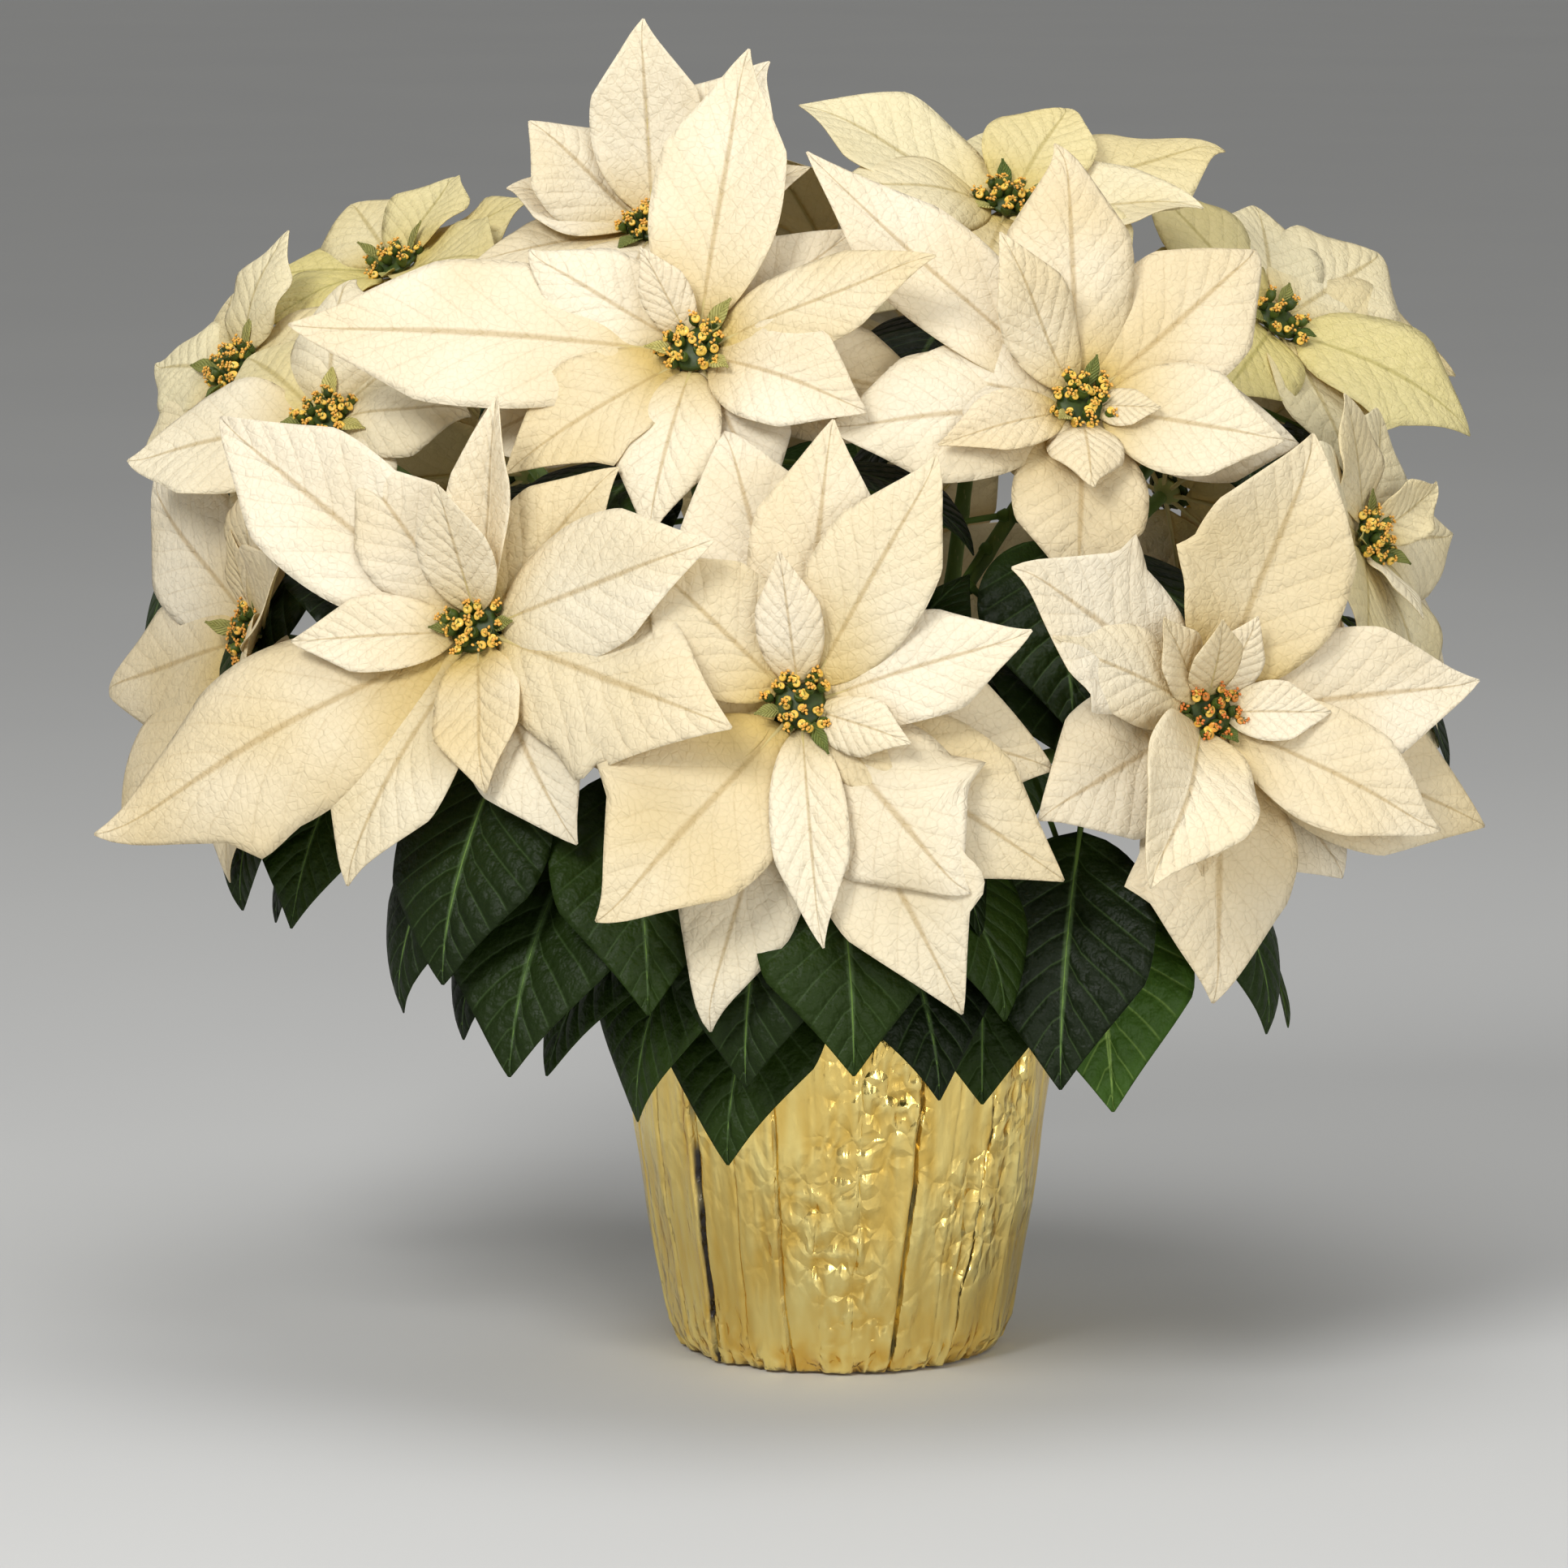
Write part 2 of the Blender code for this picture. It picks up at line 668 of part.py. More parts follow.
def trial_tree(blade, root, outward, upward, stalk):
    """The blade's outer part as two sheets a trial gap apart, for finding what it would run into."""
    rows, columns = np.array(TRIAL_ROWS), np.array(TRIAL_COLUMNS)
    share = np.repeat(rows, len(columns))
    across = np.tile(columns, len(rows))
    middle = blade_points(blade, root, outward, upward, share, across, stalk)
    grid = middle.reshape(len(rows), len(columns), 3)
    along = np.gradient(grid, axis=0)
    over = np.gradient(grid, axis=1)
    normal = np.cross(along, over)
    normal /= np.maximum(np.linalg.norm(normal, axis=2, keepdims=True), 1e-12)
    half_gap = TRIAL_GAP / 2
    verts = np.vstack([(grid + side * half_gap * normal).reshape(-1, 3) for side in (1, -1)])
    across_count, sheet = len(columns), len(share)
    faces = []
    for r in range(len(rows) - 1):
        for c in range(across_count - 1):
            a = r * across_count + c
            quad = (a, a + 1, a + across_count + 1, a + across_count)
            faces.append(quad)
            faces.append(tuple(corner + sheet for corner in quad))
    tree = BVHTree.FromPolygons([tuple(v) for v in verts], faces)
    return tree, verts.min(axis=0), verts.max(axis=0)


def hits(trial, obstacles):
    """How many faces of a trial blade meet the obstacles."""
    tree, low, high = trial
    return sum(
        len(tree.overlap(other))
        for other, other_low, other_high in obstacles
        if not ((low > other_high).any() or (high < other_low).any())
    )


def settled(blade, root, outward, upward, stalk, obstacles, signs):
    """The blade bent as little as it takes to clear what grew before it, which it then joins."""
    tries = sorted(
        ((lift * sign, sweep) for lift in LIFT_NUDGES for sign in signs for sweep in SWEEP_NUDGES),
        key=lambda nudge: abs(nudge[0]) + abs(nudge[1]) / 2,
    )
    best = None
    for lift, sweep in tries:
        bent = blade._replace(lift=blade.lift + lift, sweep=blade.sweep + sweep)
        trial = trial_tree(bent, root, outward, upward, stalk)
        count = hits(trial, obstacles)
        if best is None or count < best[0]:
            best = (count, bent, trial)
        if count == 0:
            break
    count, bent, trial = best
    obstacles.append(trial)
    return bent


def ringed(points, radii, sides=BRANCH_SIDES):
    """Vertices and faces of an open tube of straight stretches, with its radius given at each point."""
    points = [Vector(point) for point in points]
    across = (points[1] - points[0]).orthogonal()
    verts, faces = [], []
    for k, (place, radius) in enumerate(zip(points, radii)):
        along = (points[min(k + 1, len(points) - 1)] - points[max(k - 1, 0)]).normalized()
        across = (across - along * across.dot(along)).normalized()
        over = along.cross(across)
        for side in range(sides):
            angle = 2 * math.pi * side / sides
            verts.append(place + (across * math.cos(angle) + over * math.sin(angle)) * radius)
            if k:
                a, b = (k - 1) * sides + side, (k - 1) * sides + (side + 1) % sides
                faces.append((a, b, b + sides, a + sides))
    return verts, faces


def obstacle(verts, faces):
    corners = np.array(verts)
    return BVHTree.FromPolygons(verts, faces), corners.min(axis=0), corners.max(axis=0)


def fixed_obstacles():
    """The branches and the pot, each with a gap round it, which every blade keeps clear of."""
    found = []
    for head in HEADS:
        line = branch_points(head)
        radii = [branch_radius(k / (len(line) - 1)) + TRIAL_GAP for k in range(len(line))]
        found.append(obstacle(*ringed(line, radii)))
    (_, top), (rim_radius, rim), (base_radius, base), _ = pot_space()
    axis = [(0, 0, base), (0, 0, rim), (0, 0, top + TRIAL_GAP)]
    found.append(obstacle(*ringed(axis, (base_radius, rim_radius, 0), TURNED_STEPS)))
    return found


def branch_points(head):
    """A branch's middle line: it rises from its trunk's fork and enters the flower head from behind."""
    fork = Vector(next(t.fork for t in TRUNKS if t.name == head.trunk)) * MM
    facing, _, _ = axes_of(head)
    tip = Vector(head.centre) * MM - facing * RECEPTACLE_DEPTH
    reach = (tip - fork).length
    above = fork + Vector((0, 0, reach * RISE_SHARE))
    behind = tip - facing * (NECK + reach * NECK_SHARE)
    return [
        fork * (1 - t) ** 3 + above * 3 * t * (1 - t) ** 2 + behind * 3 * t * t * (1 - t) + tip * t**3
        for t in (k / (BRANCH_POINTS - 1) for k in range(BRANCH_POINTS))
    ]


def at_station(head, station):
    """The point on a branch this far back from its tip, measured along it."""
    line = branch_points(head)[::-1]
    left = station * MM
    for start, end in zip(line, line[1:]):
        step = (end - start).length
        if left <= step:
            return start.lerp(end, left / step)
        left -= step
    return line[-1]


def bends_between(head, nearest, furthest):
    """The stations of the branch's own bends between two others, the furthest from the tip first."""
    line = branch_points(head)[::-1]
    station, found = 0, []
    for start, end in zip(line, line[1:]):
        station += (end - start).length / MM
        if nearest + 1 < station < furthest - 1:
            found.append(station)
    return found[::-1]


def branch_radius(share):
    return BRANCH_RADIUS + (TIP_RADIUS - BRANCH_RADIUS) * share


def stem_solid(trunk, grow, where):
    """A trunk with the branches that leave it."""
    foot = Vector((*trunk.foot, 0)) * MM + Vector((0, 0, TRUNK_FOOT - grow))
    fork = Vector(trunk.fork) * MM
    top = fork + (fork - foot).normalized() * FORK_CAP
    line = [foot.lerp(top, k / (len(TRUNK_SWELLINGS) - 1)) for k in range(len(TRUNK_SWELLINGS))]
    radii = [TRUNK_RADIUS * share + grow for share in TRUNK_SWELLINGS]
    body = tube("stem_" + trunk.name, line, radii, 2, where)
    branches = []
    for head in HEADS:
        if head.trunk == trunk.name:
            line = branch_points(head)
            line[-1] = line[-1] + (line[-1] - line[-2]).normalized() * grow
            radii = [branch_radius(k / (len(line) - 1)) + grow for k in range(len(line))]
            branches.append(tube("branch", line, radii, 1, where))
    return boolean(body, "UNION", branches)


def bract_root(head, blade):
    """Where a bract starts: inside the receptacle's rim, the long ones below the short ones."""
    facing, up, right = axes_of(head)
    bearing = math.radians(blade.bearing)
    outward = up * math.cos(bearing) + right * math.sin(bearing)
    tier = LOWER_TIER if blade.length > LONG_BRACT else UPPER_TIER
    return Vector(head.centre) * MM + outward * BRACT_FOOT + facing * tier, outward, facing


def leaf_root(head, blade):
    """Where a leaf starts: on the skin of its branch."""
    heading = math.radians(blade.bearing)
    outward = Vector((math.sin(heading), -math.cos(heading), 0))
    root = at_station(head, blade.station) + outward * (BRANCH_RADIUS + SLEEVE_WALL / 2)
    return root, outward, Vector((0, 0, 1))


def bracts_solid(head, bracts, grow, where):
    """A receptacle with its larger bracts joined round it."""
    facing, _, _ = axes_of(head)
    widths = (TIP_RADIUS + grow, RECEPTACLE_RADIUS + grow)
    foot = Vector(head.centre) * MM - facing * (RECEPTACLE_DEPTH - CLEARANCE + grow)
    depth = RECEPTACLE_DEPTH - 2 * CLEARANCE + 2 * grow
    body = cone("bracts_" + head.name, RECEPTACLE_SIDES, widths, depth, foot, facing, where)
    blades = [
        blade_solid("bract", blade, *bract_root(head, blade), BRACT_STALK, SOLID_BRACT_ROWS, grow, where)
        for blade in bracts
        if blade.length * blade.width >= LEAST_SOLID_AREA
    ]
    return boolean(body, "UNION", blades)


def leaves_solid(head, leaves, grow, where):
    """The skin of the leafy stretch of a branch, with its leaves joined to it by their stalks."""
    stations = [leaf.station for leaf in leaves]
    low, high = max(stations) + SLEEVE_END / MM, min(stations) - SLEEVE_END / MM
    line = [at_station(head, station) for station in (low, *bends_between(head, high, low), high)]
    skin = BRANCH_RADIUS + SLEEVE_WALL + CLEARANCE + grow
    body = tube("leaves_" + head.name, line, [skin] * len(line), 1, where)
    blades = [
        blade_solid("leaf", leaf, *leaf_root(head, leaf), LEAF_STALK, SOLID_LEAF_ROWS, grow, where)
        for leaf in leaves
    ]
    return boolean(body, "UNION", blades)


def cone(name, sides, radii, depth, place, axis, where):
    """A truncated cone that stands on a place, along an axis."""
    foot, top = radii
    mesh = bpy.data.meshes.new(name)
    shape = bmesh.new()
    bmesh.ops.create_cone(shape, cap_ends=True, segments=sides, radius1=foot, radius2=top, depth=depth)
    shape.to_mesh(mesh)
    shape.free()
    obj = placed(name, mesh, where)
    obj.rotation_euler = axis.to_track_quat("Z", "Y").to_euler()
    obj.location = place + axis * depth / 2
    bpy.context.view_layer.update()
    return baked(obj)


def cyathia_solid(head, grow, where):
    """A cluster that widens upwards, with buds set on it in the order of seeds in a sunflower."""
    facing, up, right = axes_of(head)
    foot = Vector(head.centre) * MM + facing * (CLEARANCE - grow)
    widths = (CLUSTER_FOOT + grow, CLUSTER_RADIUS + grow)
    height = CLUSTER_HEIGHT + 2 * grow
    body = cone("cyathia_" + head.name, CLUSTER_SIDES, widths, height, foot, facing, where)
    buds = []
    for k in range(BUD_COUNT):
        angle, spread = k * GOLDEN_ANGLE, BUD_SPREAD * math.sqrt(k / BUD_COUNT)
        spoke = up * math.cos(angle) + right * math.sin(angle)
        axis = (facing + spoke * BUD_LEAN * spread).normalized()
        place = foot + spoke * CLUSTER_RADIUS * spread + facing * CLUSTER_HEIGHT / 2
        widths = (BUD_FOOT_RADIUS + grow, BUD_RADIUS + grow)
        buds.append(cone("bud", BUD_SIDES, widths, BUD_LENGTH + grow, place, axis, where))
    return boolean(body, "UNION", buds)


def foil_cover(where):
    """The foil cover: a tapered cup with a flat base."""
    profile = [
        (COVER_TOP_RADIUS, COVER_HEIGHT),
        (COVER_BASE_RADIUS, COVER_CORNER),
        (COVER_BASE_RADIUS - COVER_CORNER, 0),
        (0, 0),
    ]
    return baked(turned("foil_cover", profile, where, COVER_WALL))


def grow_pot(where):
    """The nursery pot: a tapered plastic cup with a lip and drain holes, standing inside the foil."""
    floor = COVER_WALL + CLEARANCE
    profile = [
        (POT_TOP_RADIUS + POT_LIP, floor + POT_HEIGHT),
        (POT_TOP_RADIUS + POT_LIP, floor + POT_HEIGHT - POT_LIP_HEIGHT),
        (POT_TOP_RADIUS, floor + POT_HEIGHT - POT_LIP_HEIGHT),
        (POT_BASE_RADIUS, floor + BASE_CORNER),
        (POT_BASE_RADIUS - BASE_CORNER, floor),
        (0, floor),
    ]
    cup = baked(turned("grow_pot", profile, where, POT_WALL))
    drains = []
    for k in range(DRAIN_COUNT):
        angle = 2 * math.pi * k / DRAIN_COUNT
        place = Vector((DRAIN_CIRCLE * math.cos(angle), DRAIN_CIRCLE * math.sin(angle), floor - POT_WALL))
        radii = (DRAIN_RADIUS, DRAIN_RADIUS)
        drains.append(cone("drain", DRAIN_SIDES, radii, 3 * POT_WALL, place, Vector((0, 0, 1)), where))
    return boolean(cup, "DIFFERENCE", drains)


def potting_mix(stems, where):
    """The mix: a slug that fills the nursery pot to below its lip, with the stems standing in it."""
    floor = COVER_WALL + CLEARANCE + POT_WALL + CLEARANCE
    inset = POT_WALL + 2 * CLEARANCE
    slope = (POT_TOP_RADIUS - POT_BASE_RADIUS) / (POT_HEIGHT - POT_LIP_HEIGHT)
    top_radius = POT_BASE_RADIUS - inset + slope * (SOIL_TOP - floor)
    profile = [
        (0, SOIL_TOP + SOIL_CROWN),
        (top_radius * 0.6, SOIL_TOP + SOIL_CROWN * 0.6),
        (top_radius, SOIL_TOP),
        (POT_BASE_RADIUS - inset, floor + BASE_CORNER + CLEARANCE),
        (POT_BASE_RADIUS - inset - BASE_CORNER - CLEARANCE, floor),
        (0, floor),
    ]
    slug = baked(turned("potting_mix", profile, where))
    return boolean(slug, "DIFFERENCE", stems)


def pot_space():
    """The (radius, height) outline of the foil cover and all it holds, with room to spare."""
    slope = (COVER_TOP_RADIUS - COVER_BASE_RADIUS) / COVER_HEIGHT
    rim = COVER_HEIGHT + KEEP_OUT
    return (
        (0, rim),
        (COVER_BASE_RADIUS + slope * rim + KEEP_OUT, rim),
        (COVER_BASE_RADIUS + KEEP_OUT, -KEEP_OUT),
        (0, -KEEP_OUT),
    )


def pot_envelope(where):
    return baked(turned("pot_envelope", pot_space(), where))


def box_of(obj):
    corners = np.array([vert.co for vert in obj.data.vertices])
    return corners.min(axis=0), corners.max(axis=0)


def carve(obj, obj_tree, solid, solid_tree, make_grown):
    """Cuts an object back to a clearance from a solid that has precedence, where the two meet."""
    low, high = box_of(obj)
    other_low, other_high = box_of(solid)
    if (low > other_high).any() or (high < other_low).any() or not obj_tree.overlap(solid_tree):
        return obj, obj_tree
    obj = boolean(obj, "DIFFERENCE", [make_grown()])
    keep_largest(obj)
    return obj, bvh_of(obj)


def settle_plant():
    """Bends every bract and then every leaf clear of the branches, the pot and those already in place."""
    obstacles = fixed_obstacles()
    bracts, leaves = {}, {}
    for head in HEADS:
        bracts[head.name] = [
            settled(blade, *bract_root(head, blade), BRACT_STALK, obstacles, (1, -1))
            for blade in head.bracts
        ]
    for head in HEADS:
        leaves[head.name] = [
            settled(leaf, *leaf_root(head, leaf), LEAF_STALK, obstacles, (-1,))
            for leaf in head.leaves
        ]
    return bracts, leaves


def carved_whorls(bracts, leaves, clusters, plant, workshop):
    """The bracts and the leaves of each head, cut clear of the stems, the pot, the flower clusters and the
    whorls before them."""
    done = []

    def keep(obj, make_grown):
        done.append((obj, bvh_of(obj), make_grown))

    for trunk in TRUNKS:
        thick = stem_solid(trunk, CLEARANCE / 2, workshop)
        keep(thick, lambda trunk=trunk: stem_solid(trunk, CLEARANCE, workshop))
    keep(pot_envelope(workshop), lambda: pot_envelope(workshop))
    for head, cluster in zip(HEADS, clusters):
        keep(cluster, lambda head=head: cyathia_solid(head, CLEARANCE, workshop))
    whorls = []
    for solid, settled_blades in ((bracts_solid, bracts), (leaves_solid, leaves)):
        for head in HEADS:
            blades = settled_blades[head.name]
            obj = solid(head, blades, 0, plant)
            keep_largest(obj)
            tree = bvh_of(obj)
            for other, other_tree, make_grown in done:
                obj, tree = carve(obj, tree, other, other_tree, make_grown)
            whorls.append(obj)
            keep(obj, lambda s=solid, h=head, b=blades: s(h, b, CLEARANCE, workshop))
    return whorls[: len(HEADS)], whorls[len(HEADS) :]


def finish(objects, slot):
    for obj in objects:
        obj.data.materials.clear()
        obj.data.materials.append(slot)
        obj.data.shade_smooth()
        obj.data.set_sharp_from_angle(angle=SHARP_ANGLE)


def main():
    clear_scene()
    plant = collection("poinsettia")
    workshop = collection("workshop", hidden=True)

    bracts, leaves = settle_plant()
    stems = [stem_solid(trunk, 0, plant) for trunk in TRUNKS]
    clusters = [cyathia_solid(head, 0, plant) for head in HEADS]
    bract_whorls, leaf_whorls = carved_whorls(bracts, leaves, clusters, plant, workshop)
    mix = potting_mix([stem_solid(trunk, CLEARANCE, workshop) for trunk in TRUNKS], plant)

    finish([foil_cover(plant)], material("gold_foil", (0.60, 0.43, 0.16), 0.25, 1.0))
    finish([grow_pot(plant)], material("nursery_plastic", (0.10, 0.035, 0.02), 0.5))
    finish([mix], material("potting_mix", (0.035, 0.022, 0.014), 0.95))
    finish(stems, material("stem_bark", (0.16, 0.20, 0.06), 0.6))
    finish(bract_whorls, material("cream_bract", (0.90, 0.80, 0.55), 0.5))
    finish(leaf_whorls, material("green_leaf", (0.02, 0.06, 0.018), 0.45))
    finish(clusters, material("yellow_cyathium", (0.70, 0.45, 0.06), 0.4))
    for obj in list(workshop.objects):
        bpy.data.objects.remove(obj)
    bpy.data.collections.remove(workshop)


if __name__ == "__main__":
    main()
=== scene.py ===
"""The looks of a cream poinsettia in its nursery pot and gold foil cover.

Metres, +Z up. The origin is the centre of the foil cover's flat base. Sizes in the tables are millimetres
and degrees. The plant's front looks along -Y.
"""

import functools
import itertools
import math
import zlib
from typing import NamedTuple

import bpy
import numpy as np
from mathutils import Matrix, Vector
from mathutils.bvhtree import BVHTree


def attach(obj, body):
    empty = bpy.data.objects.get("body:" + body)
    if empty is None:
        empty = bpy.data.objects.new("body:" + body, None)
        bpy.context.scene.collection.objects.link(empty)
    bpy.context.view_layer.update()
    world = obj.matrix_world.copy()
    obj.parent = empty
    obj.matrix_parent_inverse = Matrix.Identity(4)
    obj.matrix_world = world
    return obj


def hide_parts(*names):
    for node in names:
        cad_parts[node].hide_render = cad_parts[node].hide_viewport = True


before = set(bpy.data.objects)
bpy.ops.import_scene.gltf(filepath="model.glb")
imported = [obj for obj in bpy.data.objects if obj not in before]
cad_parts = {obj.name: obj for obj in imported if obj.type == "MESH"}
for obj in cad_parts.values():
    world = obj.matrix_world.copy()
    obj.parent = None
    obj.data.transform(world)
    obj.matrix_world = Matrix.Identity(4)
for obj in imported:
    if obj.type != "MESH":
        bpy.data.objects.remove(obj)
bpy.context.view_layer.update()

# The nursery pot is a thin tapered cup of brown polypropylene. It is injection moulded in one piece, with a
# rolled lip, shallow ribs up its wall and six drain holes. The foil cover hides all but the lip.
MM = 0.001
POT_SIDES = 144
# (radius, height) from the middle of the underside, up the wall, over the lip and down inside
POT_PROFILE = (
    (0.2, 1.3), (56.5, 1.3), (59.4, 2.6), (60.2, 5.0), (79.9, 129.6), (80.2, 130.2), (82.1, 130.4),
    (82.4, 131.2), (82.4, 143.2), (81.9, 144.0), (80.9, 144.2), (80.4, 143.6), (79.4, 130.0),
    (58.9, 5.6), (57.6, 3.4), (55.5, 2.6), (0.2, 2.6),
)
RIBBED_ROWS = slice(3, 5)
POT_RIBS = 24
RIB_DEPTH = 0.25 * MM
RIB_SHARPNESS = 3
DRAIN_COUNT = 6
DRAIN_CIRCLE = 40 * MM
DRAIN_SIDES = 24
DRAIN_BORE = ((4.5, 0.2), (4.5, 4.0))
LIP_ANGLE = 40
WHOLE_TURN = 2 * math.pi
NO_LENGTH = 1e-12
COLOUR_OUT = 2
NEAR_Y = 0.9


def unit(vectors):
    """Vectors over their own lengths."""
    return vectors / np.maximum(np.linalg.norm(vectors, axis=-1, keepdims=True), NO_LENGTH)


def turned(profile, sides, place=(0, 0, 0), axis=(0, 0, 1)):
    """Rings of points, (rings, sides, 3), from a (radius, height) profile in millimetres carried round an
    axis: each point is the place + radius * spoke + height * axis."""
    axis = np.asarray(axis, float)
    side = unit(np.cross(axis, (0, 1, 0) if abs(axis[1]) < NEAR_Y else (1, 0, 0)))
    angles = WHOLE_TURN * np.arange(sides) / sides
    spokes = np.cos(angles)[:, None] * side + np.sin(angles)[:, None] * np.cross(axis, side)
    radius, height = np.array(profile, float).T[:, :, None, None] * MM
    return np.asarray(place) + radius * spokes + height * axis


def grid_faces(rows, columns, ring=False):
    """Quads over a grid of vertices. Each joins a vertex to the next column and the next row, and a ring
    joins its last column to its first."""
    first = np.arange(rows - 1)[:, None] * columns
    column = np.arange(columns if ring else columns - 1)
    low, beside = first + column, first + (column + 1) % columns
    return np.stack([low, beside, beside + columns, low + columns], axis=2).reshape(-1, 4)


class Gathered:
    """Closed forms gathered into one mesh. Each vertex carries four traits, and on a sheet also its flat
    place and its veins, for the finish to read."""

    def __init__(self):
        self.points, self.traits, self.flats, self.veins = [], [], [], []
        self.faces = []
        self.count = 0

    def add(self, points, faces, traits=(0, 0, 0, 0), flats=(0, 0), veins=(0, 1, 0, 0)):
        """Adds a form of points and faces. Traits, flat places and veins are for all its points or each."""
        points = np.asarray(points, float).reshape(-1, 3)
        self.faces += (np.asarray(faces) + self.count).tolist()
        self.points.append(points)
        for kept, given in ((self.traits, traits), (self.flats, flats), (self.veins, veins)):
            given = np.asarray(given, float)
            kept.append(np.broadcast_to(given, (len(points), given.shape[-1])))
        self.count += len(points)

    def add_rings(self, rings, traits=(0, 0, 0, 0)):
        """Adds a skin over rings of points, with one flat face over each end."""
        rows, sides = rings.shape[:2]
        start = self.count
        self.add(rings, grid_faces(rows, sides, ring=True), traits)
        last = start + (rows - 1) * sides
        self.faces += [list(range(start + sides - 1, start - 1, -1)), list(range(last, last + sides))]

    def piece(self, name, finish, sharp=None):
        """The finished object, smooth shaded up to a sharp angle in degrees."""
        mesh = bpy.data.meshes.new(name)
        mesh.from_pydata(np.vstack(self.points).tolist(), [], self.faces)
        for label, values in (("traits", self.traits), ("veins", self.veins)):
            kept = mesh.attributes.new(label, "FLOAT_COLOR", "POINT")
            kept.data.foreach_set("color", np.vstack(values).ravel())
        corners = np.empty(len(mesh.loops), np.int32)
        mesh.loops.foreach_get("vertex_index", corners)
        mesh.uv_layers.new(name="UVMap").data.foreach_set("uv", np.vstack(self.flats)[corners].ravel())
        mesh.materials.append(finish)
        mesh.shade_smooth()
        if sharp:
            mesh.set_sharp_from_angle(angle=math.radians(sharp))
        made = bpy.data.objects.new(name, mesh)
        bpy.context.scene.collection.objects.link(made)
        return made


def linear(hex_colour):
    """The linear colour of an sRGB hex code: a part over 12.92 near black, and else to the power 2.4."""
    parts = np.array([int(hex_colour[k : k + 2], 16) / 255 for k in (1, 3, 5)])
    return (*np.where(parts <= 0.04045, parts / 12.92, ((parts + 0.055) / 1.055) ** 2.4), 1.0)


def add_node(tree, kind, inputs, out=0, **settings):
    """Adds a node with its settings and links and gives one of its outputs. An input is fed by another
    node's output, or is set to a number, a vector or a hex colour. A mix is of colours."""
    made = tree.nodes.new("ShaderNode" + kind)
    if kind == "Mix":
        out, settings = COLOUR_OUT, {"data_type": "RGBA"}
    for key, value in settings.items():
        setattr(made, key, value)
    for key, value in inputs.items():
        if isinstance(value, bpy.types.NodeSocket):
            tree.links.new(value, made.inputs[key])
        else:
            made.inputs[key].default_value = linear(value) if isinstance(value, str) else value
    return made.outputs[out] if made.outputs else None


def new_finish(name):
    """An empty material, and the function that adds nodes to it."""
    finish = bpy.data.materials.new(name)
    finish.use_nodes = True
    finish.node_tree.nodes.clear()
    return finish, functools.partial(add_node, finish.node_tree)


# Moulded polypropylene: brown all through, a little cloudy, with the half gloss of a tool-steel mould
# whose 0.8 mm spark grain shows as a faint pebble.
POT_CLOUD = 20 * MM
POT_GRAIN = 0.8 * MM
POT_GRAIN_DEPTH = 0.06 * MM
nursery_plastic, node = new_finish("moulded_brown_polypropylene")
spot = node("TexCoord", {}, "Object")
cloud = node("TexNoise", {"Vector": spot, "Scale": 1 / POT_CLOUD, "Detail": 4})
grain = node("TexNoise", {"Vector": spot, "Scale": 1 / POT_GRAIN, "Detail": 2})
plastic = node("BsdfPrincipled", {
    "Base Color": node("Mix", {0: cloud, 6: "#6E3A26", 7: "#834A33"}),
    "Roughness": node("MapRange", {"Value": cloud, "To Min": 0.42, "To Max": 0.62}),
    "IOR": 1.49,
    "Normal": node("Bump", {"Height": grain, "Distance": POT_GRAIN_DEPTH}),
})
node("OutputMaterial", {"Surface": plastic})

rings = turned(POT_PROFILE, POT_SIDES)
angles = WHOLE_TURN * np.arange(POT_SIDES) / POT_SIDES
ribs = np.clip(RIB_SHARPNESS * np.cos(POT_RIBS * angles) - RIB_SHARPNESS + 1, 0, 1) * RIB_DEPTH
wall = rings[RIBBED_ROWS]
radius = np.linalg.norm(wall[..., :2], axis=2, keepdims=True)
wall[..., :2] *= 1 + ribs[:, None] / radius
pot = Gathered()
pot.add_rings(rings)
pot = pot.piece("ribbed_pot", nursery_plastic, sharp=LIP_ANGLE)
bores = Gathered()
for angle in WHOLE_TURN * np.arange(DRAIN_COUNT) / DRAIN_COUNT:
    place = (DRAIN_CIRCLE * math.cos(angle), DRAIN_CIRCLE * math.sin(angle), 0)
    bores.add_rings(turned(DRAIN_BORE, DRAIN_SIDES, place))
bores = bores.piece("drain_bores", nursery_plastic)
cut = pot.modifiers.new("Drains", "BOOLEAN")
cut.object = bores
drilled = pot.evaluated_get(bpy.context.evaluated_depsgraph_get())
pot.data = bpy.data.meshes.new_from_object(drilled)
pot.modifiers.clear()
bpy.data.objects.remove(bores)
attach(pot, "root")
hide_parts("grow_pot")

# The potting mix fills the pot to 12 mm below the lip. It is dark peat with chips of bark and white beads
# of perlite, poured loose and pressed down by hand, so its top is lumpy and a little crowned.
MIX_SIDES = 120
MIX_ROWS = 34
MIX_REACH = 78.4
MIX_EDGE = 132.0
MIX_CROWN = 3.0
# Lumps as (size, height), and the (radius, height) of the hidden slug below the top
MIX_LUMPS = ((8, 1.5), (3.5, 0.9), (22, 1.1))
MIX_SLUG = ((0.3, 3.2), (55.0, 3.2), (58.6, 6.6), (77.6, 128.0))
CHIP_COUNT = 420
CHIP_REACH = 75
CHIP_BED = 134.6
PERLITE_SHARE = 0.3
PERLITE_SIZES = (0.8, 1.9)
BARK_SIZES = (1.2, 3.4)
CHIP_ANGLE = 35


